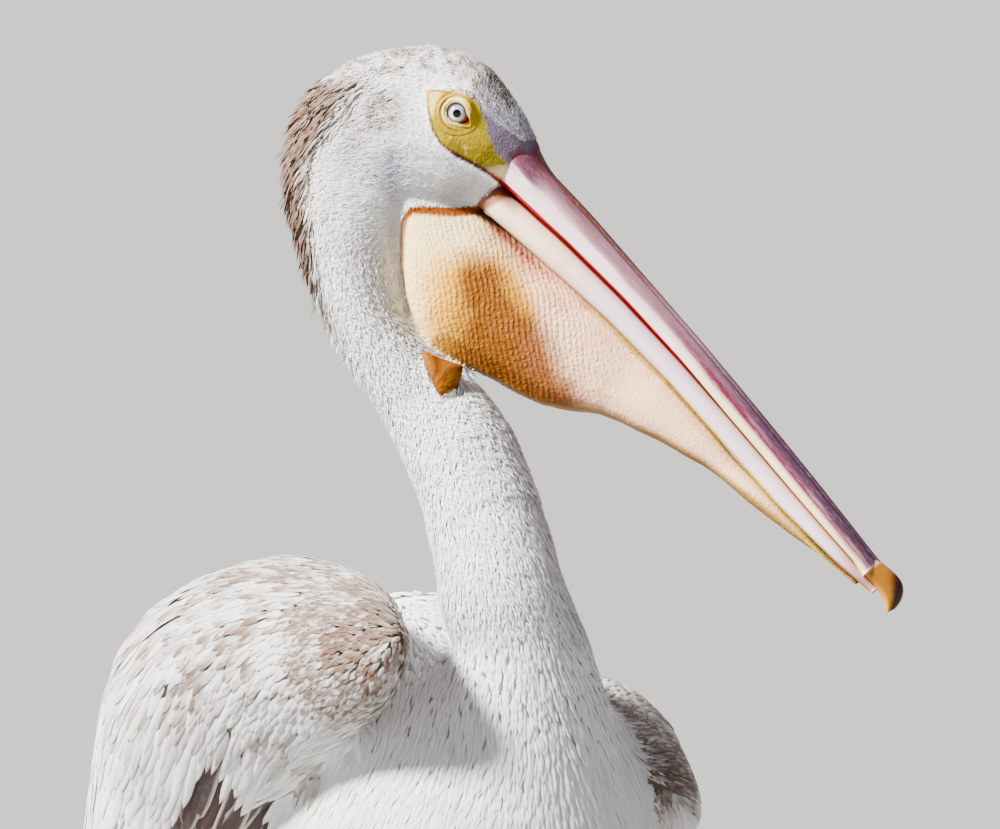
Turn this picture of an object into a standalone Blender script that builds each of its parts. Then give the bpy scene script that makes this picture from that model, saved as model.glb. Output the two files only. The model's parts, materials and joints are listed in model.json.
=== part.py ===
"""A life-size still model of an American white pelican, standing at rest.

The bird faces -Y, its right side is -X and +Z is up. It stands with the neck
raised and the head turned to its left, the bill pointing down across the view.
Trunk, neck and head are one body of rings, parted by thin cuts. Wings, thighs
and tail are lofts that are cut back to the trunk they lie on.
"""
import math

import bmesh
import bpy
import numpy as np
from mathutils import Matrix, Vector

MM = 0.001
GAP = 0.0003            # between pieces that touch
CUT = 0.0006            # how far a cutter stands off the body it stands for

# Overall placing, in metres
HEAD_AT = (0.012, -0.034, 0.892)      # a point on the head's middle plane, level with the eyes
HEAD_YAW = math.radians(44)           # turned to the bird's left
HEAD_PITCH = math.radians(46)         # bill pointing down
HEAD_ROLL = math.radians(8)           # right cheek tipped slightly up
TRUNK_ROLL = math.radians(5)          # right shoulder higher than the left
WING_DROP = {"right": 0.0, "left": 0.106}   # how far the wrist hangs below the shrugged one
WING_TUCK = {"right": 0.0, "left": 0.016}   # how much closer to the chest the wrist lies
FOOT_SPREAD = 0.078                   # half the distance between the feet
FOOT_BACK = 0.062                     # foot joint behind the centre of the chest
TOE_OUT = math.radians(9)

# Head, in millimetres, in its own frame: x along the bill, z towards the crown.
# Each row: throat side (x, z), crown side (x, z), half width.
HEAD_RINGS = (
    ((50, -26), (50, 22.5), 18),
    ((41, -35), (35, 28.5), 24),
    ((31, -46), (12, 32.5), 30),
    ((24, -53), (-12, 33), 33),
    ((22, -57), (-36, 21), 34),
    ((22, -59), (-54, 0), 33),
    ((23, -62), (-66, -22), 32),
    ((26, -66), (-69, -42), 31),
    ((31, -72), (-63, -65), 30),
    ((39, -79), (-47, -93), 29),
    ((51, -89), (-18, -112), 28.5),
    ((68, -99), (16, -128), 28.5),
    ((92, -101), (55, -141), 28.5),
    ((119, -95), (108, -152), 28.5),
)
HEAD_SKEW = -12          # the last head ring lies this far to the bird's right

# Neck, in metres: centre and radius of each ring down to the trunk
NECK_RINGS = (
    ((-0.006, -0.072, 0.699), 0.0328),
    ((-0.004, -0.093, 0.672), 0.0332),
    ((-0.006, -0.116, 0.640), 0.0365),
    ((-0.009, -0.131, 0.618), 0.0378),
)

# Trunk, in metres: belly side (y, z), back side (y, z), half width, from the neck to the tail
TRUNK_RINGS = (
    ((-0.177, 0.601), (-0.103, 0.584), 0.041),
    ((-0.191, 0.550), (-0.092, 0.590), 0.050),
    ((-0.208, 0.480), (-0.080, 0.599), 0.070),
    ((-0.201, 0.402), (-0.062, 0.607), 0.090),
    ((-0.157, 0.334), (-0.034, 0.612), 0.106),
    ((-0.092, 0.286), (0.010, 0.607), 0.113),
    ((-0.014, 0.253), (0.072, 0.579), 0.116),
    ((0.068, 0.237), (0.143, 0.528), 0.112),
    ((0.148, 0.239), (0.212, 0.466), 0.100),
    ((0.218, 0.251), (0.270, 0.405), 0.080),
    ((0.274, 0.268), (0.313, 0.357), 0.057),
    ((0.314, 0.287), (0.337, 0.325), 0.034),
)
CUTS = (9.6, 13.6, 16.0, 18.0)      # ring numbers where head, neck lengths and trunk part
TRUNK_EGG = 0.02                    # the back is a little broader than the belly

# Wing, in metres, bird's right: lower edge (x, y, z), upper edge (x, y, z),
# outer fullness, inner fullness, outward bow
WING_RINGS = (
    ((-0.104, -0.182, 0.592), (-0.101, -0.180, 0.608), 0.007, 0.007, 0.001),
    ((-0.108, -0.168, 0.572), (-0.093, -0.156, 0.621), 0.017, 0.020, 0.006),
    ((-0.112, -0.132, 0.551), (-0.087, -0.103, 0.635), 0.022, 0.044, 0.022),
    ((-0.119, -0.078, 0.516), (-0.085, -0.036, 0.639), 0.026, 0.054, 0.045),
    ((-0.126, -0.010, 0.465), (-0.078, 0.046, 0.626), 0.027, 0.057, 0.056),
    ((-0.125, 0.068, 0.396), (-0.070, 0.118, 0.580), 0.019, 0.052, 0.048),
    ((-0.114, 0.148, 0.335), (-0.062, 0.186, 0.509), 0.015, 0.042, 0.037),
    ((-0.097, 0.226, 0.284), (-0.052, 0.252, 0.430), 0.012, 0.028, 0.028),
    ((-0.077, 0.303, 0.240), (-0.042, 0.316, 0.348), 0.009, 0.016, 0.018),
    ((-0.056, 0.370, 0.206), (-0.034, 0.375, 0.268), 0.006, 0.008, 0.010),
    ((-0.041, 0.423, 0.182), (-0.031, 0.424, 0.206), 0.003, 0.003, 0.002),
)
WING_CUTS = (3.4, 7.0)

# Tail, in metres: centre (y, z), half width, half thickness
TAIL_RINGS = (
    ((0.300, 0.304), 0.040, 0.022),
    ((0.340, 0.277), 0.046, 0.017),
    ((0.380, 0.249), 0.056, 0.012),
    ((0.420, 0.219), 0.066, 0.008),
    ((0.455, 0.192), 0.066, 0.005),
    ((0.478, 0.175), 0.048, 0.003),
)

# Bill and pouch profiles, in millimetres in the head's frame
BILL_BASE = 50.4
BILL_END = 361
CULMEN = ((50, 22), (62, 18.6), (100, 19), (200, 17.3), (250, 15.3), (300, 12.7), (361, 8.4))
GAPE = ((50, -7), (60, -6), (100, -1.7), (150, 1.1), (200, 1.6), (240, 0.4), (300, -1.3), (372, -2.2))
JAW_EDGE = ((50, -26), (80, -22), (120, -17), (150, -14), (200, -12), (300, -13), (345, -10), (370, -7))
BILL_WIDTH = ((50, 18), (100, 17), (200, 14), (270, 13), (330, 14.5), (361, 12.5), (372, 9))
JAW_WIDTH = ((50, 18), (100, 19), (200, 15), (270, 13), (330, 14), (356, 12), (370, 7))
# Nail sections: x, top, bottom, half width
NAIL = ((360.8, 8.4, -1.6, 12.0), (368, 10.4, -1.9, 9.5), (376, 11.2, -2.4, 7.5),
        (382.5, 8.8, -5.2, 5.8), (386.5, 3.0, -7.4, 3.2))
POUCH_TOP = ((20, -36), (50, -26.4), (80, -22.4), (120, -17.4), (150, -14.4), (200, -12.4),
             (300, -13.4), (345, -10.4), (362, -8.4))
POUCH_EDGE = ((20, -62), (40, -80), (62, -97), (86, -107), (116, -95), (132, -87), (152, -82),
              (168, -72), (186, -56), (202, -48), (222, -40), (250, -31), (300, -21), (350, -12),
              (362, -9.6))
POUCH_WIDTH = ((20, 22), (60, 26), (116, 24), (150, 20), (200, 16), (300, 12), (345, 11), (362, 7))
LOBE_CENTRE = (104, -33, -108)
LOBE_HALF = (19, 8, 11)

EYE_CENTRE = (4.3, 24.0, 5.0)
EYE_RADIUS = 8.5

# Leg, in metres, bird's left: centre (x from the middle, y, z), half width, half depth
THIGH_RINGS = (
    ((0.056, 0.026, 0.350), 0.044, 0.070),
    ((0.064, 0.038, 0.290), 0.042, 0.068),
    ((0.070, 0.056, 0.236), 0.036, 0.054),
    ((0.076, 0.073, 0.190), 0.025, 0.034),
    ((0.079, 0.081, 0.160), 0.015, 0.018),
)
SHANK_RINGS = (
    ((0.079, 0.0812, 0.1597), 0.0085, 0.0105),
    ((0.079, 0.084, 0.143), 0.0105, 0.0125),
    ((0.079, 0.083, 0.128), 0.0100, 0.0120),
    ((0.079, 0.079, 0.108), 0.0062, 0.0085),
    ((0.078, 0.071, 0.065), 0.0058, 0.0080),
    ((0.078, 0.065, 0.034), 0.0066, 0.0085),
    ((0.078, 0.062, 0.0183), 0.0095, 0.0110),
)
FOOT_HEIGHT = 0.018
WEB_THICKNESS = 0.0028
# Toe: angle from straight ahead (outward positive), length, tip height
TOES = {
    "hind": (-104, 0.046, 0.0050),
    "inner": (-33, 0.088, 0.0060),
    "middle": (-3, 0.112, 0.0065),
    "outer": (24, 0.106, 0.0060),
}
TOE_HALF_WIDTH = 0.0052
CLAW_LENGTH = 0.009

COLOURS = {
    "plumage": ((0.86, 0.85, 0.83), 0.75),
    "brown_plumage": ((0.62, 0.57, 0.53), 0.75),
    "flight_feather": ((0.055, 0.045, 0.045), 0.60),
    "bill_horn": ((0.78, 0.48, 0.52), 0.38),
    "nail_horn": ((0.80, 0.42, 0.06), 0.35),
    "pouch_skin": ((0.86, 0.52, 0.24), 0.45),
    "leg_skin": ((0.85, 0.46, 0.16), 0.50),
    "claw_horn": ((0.30, 0.20, 0.14), 0.40),
    "eye": ((0.70, 0.76, 0.80), 0.08),
}


# ---- small tools -------------------------------------------------------------

def material(kind):
    """The Principled material of one kind of surface, made once."""
    found = bpy.data.materials.get(kind)
    if found:
        return found
    colour, roughness = COLOURS[kind]
    made = bpy.data.materials.new(kind)
    made.use_nodes = True
    shader = made.node_tree.nodes["Principled BSDF"]
    shader.inputs["Base Color"].default_value = (*colour, 1)
    shader.inputs["Roughness"].default_value = roughness
    shader.inputs["Metallic"].default_value = 0
    return made


def smooth_at(rows, t):
    """Rows of numbers read at t by a Catmull-Rom curve through them."""
    last = len(rows) - 1
    i = min(int(t), last - 1)
    f = t - i
    p0 = rows[max(i - 1, 0)]
    p1 = rows[i]
    p2 = rows[i + 1]
    p3 = rows[min(i + 2, last)]
    return 0.5 * (2 * p1 + (p2 - p0) * f + (2 * p0 - 5 * p1 + 4 * p2 - p3) * f ** 2
                  + (3 * p1 - p0 - 3 * p2 + p3) * f ** 3)


def profile_at(points, x):
    """Height of a profile at x, straight between its points and eased at them."""
    xs = [p[0] for p in points]
    return float(np.mean(np.interp([x - 6, x - 3, x, x + 3, x + 6], xs, [p[1] for p in points])))


def power(value, exponent):
    return math.copysign(abs(value) ** exponent, value)


def unit(vector):
    return vector / np.linalg.norm(vector)


def oval(centre, up, side, sides, egg=0.0, low=1.0, high=1.0):
    """A ring round centre: up and side are its half axes. low and high square its two ends."""
    ring = []
    for k in range(sides):
        a = 2 * math.pi * k / sides
        squareness = high if math.cos(a) > 0 else low
        along = power(math.cos(a), squareness)
        across = power(math.sin(a), squareness)
        ring.append(centre + up * along + side * across * (1 + egg * along))
    return ring


def loft(name, rings, kind, parent=None):
    """A closed body through rings of equal count, with a flat face on each end."""
    sides = len(rings[0])
    verts = [Vector(p) for ring in rings for p in ring]
    faces = []
    for i in range(len(rings) - 1):
        for k in range(sides):
            n = (k + 1) % sides
            faces.append((i * sides + k, i * sides + n, (i + 1) * sides + n, (i + 1) * sides + k))
    faces.append(tuple(range(sides)))
    faces.append(tuple(range((len(rings) - 1) * sides, len(rings) * sides)))
    return body(name, verts, faces, kind, parent)


def body(name, verts, faces, kind, parent=None):
    """An object from vertices and faces, its normals turned outwards."""
    mesh = bpy.data.meshes.new(name)
    mesh.from_pydata([tuple(v) for v in verts], [], faces)
    work = bmesh.new()
    work.from_mesh(mesh)
    bmesh.ops.recalc_face_normals(work, faces=work.faces)
    work.to_mesh(mesh)
    work.free()
    mesh.shade_smooth()
    mesh.set_sharp_from_angle(angle=math.radians(50))
    mesh.materials.append(material(kind))
    made = bpy.data.objects.new(name, mesh)
    bpy.context.scene.collection.objects.link(made)
    made.parent = parent or bird
    return made


def as_cutter(thing):
    thing.hide_render = True
    thing.display_type = "WIRE"
    return thing


def cut(thing, *cutters):
    """Take each cutter's volume out of the thing."""
    for cutter in cutters:
        step = thing.modifiers.new(f"clear_of_{cutter.name}", "BOOLEAN")
        step.operation = "DIFFERENCE"
        step.solver = "EXACT"
        step.object = cutter


# ---- head, neck and trunk ----------------------------------------------------

def turn_matrix(yaw, pitch, roll):
    """Axes of a frame that looks along -Y, turned left by yaw, down by pitch, tipped by roll."""
    ahead = np.array((math.sin(yaw) * math.cos(pitch), -math.cos(yaw) * math.cos(pitch),
                      -math.sin(pitch)))
    up = unit(np.array((0, 0, 1)) - ahead * ahead[2])
    left = np.cross(up, ahead)
    tipped = up * math.cos(roll) + left * math.sin(roll)
    return np.column_stack((ahead, np.cross(tipped, ahead), tipped))


HEAD_AXES = turn_matrix(HEAD_YAW, HEAD_PITCH, HEAD_ROLL)


def from_head(x, y, z):
    """A point of the head's frame, in millimetres, as a place in metres."""
    return np.array(HEAD_AT) + HEAD_AXES @ (np.array((x, y, z)) * MM)


def control_rings():
    """Centre, up and side half axes and squareness of every ring, from the bill to the tail."""
    rows = []
    for i, (throat, crown, half) in enumerate(HEAD_RINGS):
        skew = HEAD_SKEW * max(0, i - 9) / (len(HEAD_RINGS) - 10)
        a = from_head(throat[0], skew, throat[1])
        b = from_head(crown[0], skew, crown[1])
        rows.append(((a + b) / 2, (b - a) / 2, HEAD_AXES[:, 1] * half * MM))
    lower_up = np.array((0, 1, -0.1))
    centres = [row[0] for row in rows[-2:]] + [np.array(c) for c, _ in NECK_RINGS]
    belly, back, _ = TRUNK_RINGS[0]
    centres.append(np.array((0, (belly[0] + back[0]) / 2, (belly[1] + back[1]) / 2)))
    for i, (centre, radius) in enumerate(NECK_RINGS):
        along = unit(centres[i + 3] - centres[i + 1])
        share = (i + 1) / (len(NECK_RINGS) + 1)
        wanted = unit(rows[len(HEAD_RINGS) - 1][1]) * (1 - share) + lower_up * share
        up = unit(wanted - along * (wanted @ along))
        rows.append((np.array(centre), up * radius, np.cross(along, up) * radius))
    for (belly, back, half) in TRUNK_RINGS:
        a = np.array((0, *belly))
        b = np.array((0, *back))
        side = np.array((math.cos(TRUNK_ROLL), 0, -math.sin(TRUNK_ROLL))) * half
        rows.append(((a + b) / 2, (b - a) / 2, side))
    return rows


def consistent(rows):
    """Turn every side axis the same way along the body."""
    fixed = [rows[0]]
    for centre, up, side in rows[1:]:
        if side @ fixed[-1][2] < 0:
            side = -side
        fixed.append((centre, up, side))
    return fixed


def body_ring(rows, t, sides, grow=0.0):
    """The ring at t along the body, its half axes grown by a length."""
    centre, up, side = (smooth_at([row[k] for row in rows], t) for k in range(3))
    up = up * (1 + grow / np.linalg.norm(up))
    side = side * (1 + grow / np.linalg.norm(side))
    in_head = max(0.0, min(1.0, (11 - t) / 4))
    in_trunk = max(0.0, min(1.0, (t - 17) / 3))
    return oval(centre, up, side, sides, egg=TRUNK_EGG * in_trunk - 0.06 * in_head,
                low=1 - 0.26 * in_head, high=1 - 0.06 * in_head)


def body_rings(rows, steps, sides, slid=False, grow=0.0):
    """Rings at steps along the body. slid moves the first off the piece before it."""
    rings = [body_ring(rows, t, sides, grow) for t in steps]
    if slid:
        face = unit(np.cross(rings[0][0] - rings[0][sides // 2],
                             rings[0][sides // 4] - rings[0][-(sides // 4)]))
        ahead = np.mean(rings[1], axis=0) - np.mean(rings[0], axis=0)
        rings[0] = [p + face * math.copysign(GAP, face @ ahead) for p in rings[0]]
    return rings


def make_body():
    """Head, three lengths of neck, and trunk, with the cutters that stand for them."""
    rows = consistent(control_rings())
    head_steps = np.linspace(0, CUTS[0], 15)
    upper_steps = np.linspace(CUTS[0], CUTS[1], 7)
    trunk_steps = np.linspace(CUTS[3], len(rows) - 1, 19)
    head = loft("head", body_rings(rows, head_steps, 22), "plumage")
    loft("neck_upper", body_rings(rows, upper_steps, 22, slid=True), "plumage")
    loft("neck_middle", body_rings(rows, np.linspace(*CUTS[1:3], 5), 22, slid=True), "plumage")
    loft("neck_lower", body_rings(rows, np.linspace(*CUTS[2:4], 4), 22, slid=True), "plumage")
    loft("trunk", body_rings(rows, trunk_steps, 28, slid=True), "plumage")
    head_space = body_rings(rows, [*head_steps, *upper_steps[1:]], 22, grow=CUT)
    trunk_space = body_rings(rows, trunk_steps, 28, grow=CUT)
    return (head, as_cutter(loft("head_space", head_space, "plumage")),
            as_cutter(loft("trunk_space", trunk_space, "plumage")))


# ---- eyes, bill and pouch ----------------------------------------------------

def ball(name, centre, radius, kind, parent, sides=16, rows=8):
    mesh = bpy.data.meshes.new(name)
    work = bmesh.new()
    bmesh.ops.create_uvsphere(work, u_segments=sides, v_segments=rows, radius=radius)
    work.to_mesh(mesh)
    work.free()
    mesh.shade_smooth()
    mesh.materials.append(material(kind))
    made = bpy.data.objects.new(name, mesh)
    bpy.context.scene.collection.objects.link(made)
    made.parent = parent
    made.location = centre
    made.rotation_euler = (math.pi / 2, 0, 0)
    return made


def make_eyes(head, head_frame):
    """Eyeballs sunk in sockets, with only their front third proud of the face."""
    for name, side in (("eye_right", -1), ("eye_left", 1)):
        centre = (EYE_CENTRE[0] * MM, side * EYE_CENTRE[1] * MM, EYE_CENTRE[2] * MM)
        ball(name, centre, EYE_RADIUS * MM, "eye", head_frame)
        socket = ball(f"{name}_socket", centre, EYE_RADIUS * MM + CUT, "eye", head_frame)
        cut(head, as_cutter(socket))


def bill_ring(x, top, bottom, half, ridge, floor, sides=16):
    """A bill section at x: a ridge above, a flatter underside. ridge narrows the top."""
    ring = []
    middle = (top + bottom) / 2
    for k in range(sides):
        a = 2 * math.pi * k / sides
        rise = math.cos(a)
        z = middle + (top - bottom) / 2 * power(rise, 1.0 if rise > 0 else floor)
        y = half * power(math.sin(a), 0.8) * (1 - ridge * max(0.0, rise) ** 1.5)
        ring.append(np.array((x, y, z)) * MM)
    return ring


def make_bill(head_frame):
    """Upper bill with its hooked nail, and the lower bill under it."""
    stations = np.concatenate((np.linspace(BILL_BASE, 110, 5), np.linspace(140, BILL_END - 0.6, 9)))
    upper = [bill_ring(x, profile_at(CULMEN, x), profile_at(GAPE, x) + 0.2,
                       profile_at(BILL_WIDTH, x), 0.35, 0.4) for x in stations]
    loft("upper_bill", upper, "bill_horn", head_frame)
    lower_stations = np.concatenate((np.linspace(BILL_BASE, 110, 4), np.linspace(150, 369, 8)))
    lower = [bill_ring(x, profile_at(GAPE, x) - 0.2, profile_at(JAW_EDGE, x),
                       profile_at(JAW_WIDTH, x), 0.0, 0.7) for x in lower_stations]
    loft("lower_bill", lower, "bill_horn", head_frame)
    nail = []
    for x, top, bottom, half in NAIL:
        nail.append(bill_ring(x, top, bottom, half, 0.3, 0.6, 12))
    loft("bill_nail", nail, "nail_horn", head_frame)


def pouch_rings():
    stations = np.concatenate((np.linspace(20, 200, 14), np.linspace(222, 362, 6)))
    rings = []
    for x in stations:
        rings.append(bill_ring(x, profile_at(POUCH_TOP, x), profile_at(POUCH_EDGE, x),
                               profile_at(POUCH_WIDTH, x), 0.0, 1.0, 14))
    return rings


def make_pouch(head_frame, head_space):
    """The skin pouch slung under the lower bill, and the lobe behind it on the neck."""
    pouch = loft("pouch", pouch_rings(), "pouch_skin", head_frame)
    cut(pouch, head_space)
    lobe_rings = []
    for a in np.linspace(-1.25, 1.25, 6):
        centre = np.array((LOBE_CENTRE[0] + LOBE_HALF[0] * math.sin(a), LOBE_CENTRE[1],
                           LOBE_CENTRE[2] - 3 * math.sin(a)))
        lobe_rings.append(oval(centre * MM, np.array((0, 0, LOBE_HALF[2] * math.cos(a))) * MM,
                               np.array((0, LOBE_HALF[1] * math.cos(a), 0)) * MM, 12))
    lobe = loft("gular_lobe", lobe_rings, "pouch_skin", head_frame)
    cut(lobe, head_space)


# ---- wings and tail ----------------------------------------------------------

def wing_ring(rows, t, sides, mirror, drop, tuck):
    """A banana-shaped section of the folded wing, bowed out round the body."""
    low, high = (smooth_at([np.array(row[k]) for row in rows], t) for k in range(2))
    outer, inner, bow = (smooth_at([row[k] for row in rows], t) for k in range(2, 5))
    along = np.array((0.12, 0.80, -0.58))
    up = (high - low) / 2
    out = unit(np.cross(along, up))
    if out[0] > 0:
        out = -out
    fade = max(0.0, 1 - t / 9.0) ** 0.8
    ring = []
    for k in range(sides):
        a = 2 * math.pi * k / sides
        reach = outer if math.sin(a) > 0 else inner
        across = reach * math.sin(a) + bow * (1 - math.cos(a) ** 2)
        place = (low + high) / 2 + up * power(math.cos(a), 0.9) + out * across
        ring.append(np.array(((place[0] + tuck * fade) * mirror, place[1], place[2] - drop * fade)))
    return ring


def make_wing(side, mirror, cutters):
    """One folded wing in three lengths: wrist and arm, inner feathers, long tip feathers."""
    spans = (("arm", 0, WING_CUTS[0], 9, "brown_plumage"),
             ("vanes", WING_CUTS[0], WING_CUTS[1], 7, "plumage"),
             ("primaries", WING_CUTS[1], len(WING_RINGS) - 1, 7, "flight_feather"))
    for part, start, end, count, kind in spans:
        first = start + (0.004 if start else 0)
        rings = [wing_ring(WING_RINGS, t, 18, mirror, WING_DROP[side], WING_TUCK[side])
                 for t in np.linspace(first, end, count)]
        piece = loft(f"wing_{side}_{part}", rings, kind)
        cut(piece, *cutters)


def tail_rings(grow=0.0):
    rows = []
    for (y, z), half, thick in TAIL_RINGS:
        rows.append((np.array((0, y, z)), half + grow, thick + grow))
    rings = []
    lean = unit(np.array((0, 0.58, 0.81)))
    for t in np.linspace(0, len(rows) - 1, 10):
        centre, half, thick = (smooth_at([row[k] for row in rows], t) for k in range(3))
        rings.append(oval(centre, lean * thick, np.array((half, 0, 0)), 20, low=0.9, high=0.9))
    return rings


def make_tail(trunk_space):
    tail = loft("tail", tail_rings(), "plumage")
    cut(tail, trunk_space)
    return as_cutter(loft("tail_space", tail_rings(CUT), "plumage"))


# ---- legs and feet -----------------------------------------------------------

def make_leg(side, mirror, trunk_space):
    """Feathered thigh, bare shank, webbed foot and four claws."""
    thigh = []
    for (x, y, z), half, deep in THIGH_RINGS:
        thigh.append(oval(np.array((x * mirror, y, z)), np.array((0, deep, 0.25 * deep)),
                          np.array((half, 0, 0)), 14))
    cut(loft(f"thigh_{side}", thigh, "plumage"), trunk_space)
    shank = []
    for i, ((x, y, z), half, deep) in enumerate(SHANK_RINGS):
        tilt = 0.0 if i else 0.25 * deep
        shank.append(oval(np.array((x * mirror, y, z)), np.array((0, deep, tilt)),
                          np.array((half, 0, 0)), 10))
    loft(f"shank_{side}", shank, "leg_skin")
    make_foot(side, mirror)


def foot_reach(angle):
    """How far the web's edge lies from the foot's joint, at an angle in degrees."""
    toes = sorted(TOES.values())
    if angle <= toes[0][0]:
        return max(0.013, toes[0][1] * (1 - (toes[0][0] - angle) / 8))
    if angle >= toes[-1][0]:
        return max(0.013, toes[-1][1] * (1 - (angle - toes[-1][0]) / 6))
    for (a0, r0, _), (a1, r1, _) in zip(toes, toes[1:]):
        if a0 <= angle <= a1:
            share = (angle - a0) / (a1 - a0)
            return (r0 + (r1 - r0) * share) * (1 - 0.15 * math.sin(math.pi * share))
    return 0.013


def foot_height(angle, reach):
    """Height of the foot's upper side: a boss at the joint, toes as ridges, web between."""
    height = WEB_THICKNESS
    for toe_angle, length, tip in TOES.values():
        off = abs(reach * math.sin(math.radians(angle - toe_angle)))
        if math.cos(math.radians(angle - toe_angle)) > 0:
            ridge = FOOT_HEIGHT * 0.62 + (tip - FOOT_HEIGHT * 0.62) * min(1, reach / length)
            height = max(height, WEB_THICKNESS + (ridge - WEB_THICKNESS)
                         * math.exp(-(off / TOE_HALF_WIDTH) ** 2))
    boss = math.exp(-(reach / 0.017) ** 4)
    return height + (FOOT_HEIGHT - height) * boss


def foot_place(angle, reach, height, mirror):
    """Angle and reach from the foot's joint, as a place in metres."""
    a = math.radians(angle) + TOE_OUT
    return np.array((mirror * (FOOT_SPREAD + reach * math.sin(a)),
                     FOOT_BACK - reach * math.cos(a), height))


def make_foot(side, mirror):
    """A webbed foot: flat below, ridged above, with a claw past each toe."""
    angles = set()
    toes = sorted(row[0] for row in TOES.values())
    for toe in toes:
        angles.update((toe - 3, toe, toe + 3))
    for a0, a1 in zip(toes, toes[1:]):
        steps = max(3, round((a1 - a0) / 12))
        angles.update(a0 + 3 + (a1 - a0 - 6) * k / steps for k in range(1, steps))
    angles.update((toes[0] - 8, toes[-1] + 6))
    rear = np.linspace(toes[-1] + 30, toes[0] - 32 + 360, 6)
    angles = sorted(angles) + list(rear)
    shares = (0.0, 0.14, 0.26, 0.5, 0.8, 1.0)
    count = len(angles)
    verts = [foot_place(0, 0, FOOT_HEIGHT - GAP, mirror)]
    for share in shares[1:]:
        for angle in angles:
            reach = foot_reach(angle) * share
            verts.append(foot_place(angle, reach, foot_height(angle, reach) - GAP, mirror))
    rim = len(verts)
    for angle in angles:
        verts.append(foot_place(angle, foot_reach(angle), 0, mirror))
    sole = len(verts)
    verts.append(foot_place(0, 0, 0, mirror))
    faces = [(0, 1 + k, 1 + (k + 1) % count) for k in range(count)]
    for i in range(len(shares) - 1):
        a = 1 + i * count
        b = a + count
        for k in range(count):
            n = (k + 1) % count
            faces.append((a + k, a + n, b + n, b + k))
    faces += [(sole, rim + k, rim + (k + 1) % count) for k in range(count)]
    body(f"foot_{side}", verts, faces, "leg_skin")
    for toe, (angle, length, tip) in TOES.items():
        make_claw(f"claw_{side}_{toe}", angle, length, tip, mirror)


def make_claw(name, angle, length, tip, mirror):
    """A short curved claw, its point just clear of the floor."""
    rings = []
    forward = foot_place(angle, length + 1, 0, mirror) - foot_place(angle, length, 0, mirror)
    across = np.array((-forward[1], forward[0], 0))
    for share in (0.0, 0.5, 1.0):
        size = 0.0026 * (1 - 0.85 * share ** 1.3)
        rise = 0.0030 + (tip - 0.0052) * (1 - share) - 0.0016 * share
        centre = foot_place(angle, length + 2 * GAP + CLAW_LENGTH * share, rise, mirror)
        rings.append(oval(centre, np.array((0, 0, size)), across * size * 0.8, 6))
    loft(name, rings, "claw_horn")


# ---- the whole bird ----------------------------------------------------------

def centre_on_floor():
    """Move the whole bird so that the middle of its box stands over the origin."""
    bpy.context.view_layer.update()
    corners = []
    for thing in bpy.data.objects:
        if thing.type == "MESH" and not thing.hide_render:
            points = [thing.matrix_world @ v.co for v in thing.data.vertices]
            corners.append(np.min(points, axis=0))
            corners.append(np.max(points, axis=0))
    low = np.min(corners, axis=0)
    high = np.max(corners, axis=0)
    bird.location = (-(low[0] + high[0]) / 2, -(low[1] + high[1]) / 2, 0)


def main():
    head, head_space, trunk_space = make_body()
    head_frame = bpy.data.objects.new("head_frame", None)
    bpy.context.scene.collection.objects.link(head_frame)
    head_frame.parent = bird
    axes = Matrix([list(row) for row in HEAD_AXES]).to_4x4()
    head_frame.matrix_local = Matrix.Translation(HEAD_AT) @ axes
    make_eyes(head, head_frame)
    make_bill(head_frame)
    make_pouch(head_frame, head_space)
    tail_space = make_tail(trunk_space)
    for side, mirror in (("right", -1), ("left", 1)):
        make_wing(side, -mirror, (trunk_space, tail_space))
        make_leg(side, mirror, trunk_space)
    centre_on_floor()


for old in list(bpy.data.objects):
    bpy.data.objects.remove(old, do_unlink=True)
bird = bpy.data.objects.new("bird", None)
bpy.context.scene.collection.objects.link(bird)
main()
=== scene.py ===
# %% [markdown]
# # A standing American white pelican, in feather and skin
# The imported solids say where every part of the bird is. This notebook puts one skin over the
# flesh, a horny bill, wet eyes and claws where they belong, and then lays the plumage on the
# skin, feather by feather, the way a taxidermist dresses a body.

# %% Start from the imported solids
import json
import math

import bpy
import numpy as np
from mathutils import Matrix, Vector
from mathutils.bvhtree import BVHTree

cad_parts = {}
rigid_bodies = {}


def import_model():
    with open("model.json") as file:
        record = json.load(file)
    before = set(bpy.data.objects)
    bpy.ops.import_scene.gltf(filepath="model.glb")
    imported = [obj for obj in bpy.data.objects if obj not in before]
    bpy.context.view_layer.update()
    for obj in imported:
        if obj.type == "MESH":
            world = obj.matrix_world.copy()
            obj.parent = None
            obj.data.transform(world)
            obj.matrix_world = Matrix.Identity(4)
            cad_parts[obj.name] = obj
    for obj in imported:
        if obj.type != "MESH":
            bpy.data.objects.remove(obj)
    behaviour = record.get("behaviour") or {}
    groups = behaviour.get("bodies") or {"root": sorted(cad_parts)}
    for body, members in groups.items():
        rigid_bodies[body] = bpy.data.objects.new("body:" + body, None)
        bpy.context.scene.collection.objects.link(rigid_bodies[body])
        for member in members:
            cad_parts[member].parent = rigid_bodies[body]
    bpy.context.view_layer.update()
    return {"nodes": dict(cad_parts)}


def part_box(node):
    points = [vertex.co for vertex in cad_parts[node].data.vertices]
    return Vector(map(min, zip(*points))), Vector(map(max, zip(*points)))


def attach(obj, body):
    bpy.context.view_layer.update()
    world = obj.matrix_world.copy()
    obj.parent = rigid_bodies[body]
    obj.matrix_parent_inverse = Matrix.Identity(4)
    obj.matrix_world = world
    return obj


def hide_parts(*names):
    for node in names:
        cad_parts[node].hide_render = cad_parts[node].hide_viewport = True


for leftover in list(bpy.data.objects):
    bpy.data.objects.remove(leftover)
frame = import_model()
MM = 0.001

# %% [markdown]
# ## The head's own axes
# A bill is drawn most easily lying flat, so the head gets a frame of its own: x along the bill,
# y to the bird's left and z to the crown. The eyes fix its place; three turns fix its tilt.
# Measuring in millimetres there keeps every number small.

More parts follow.
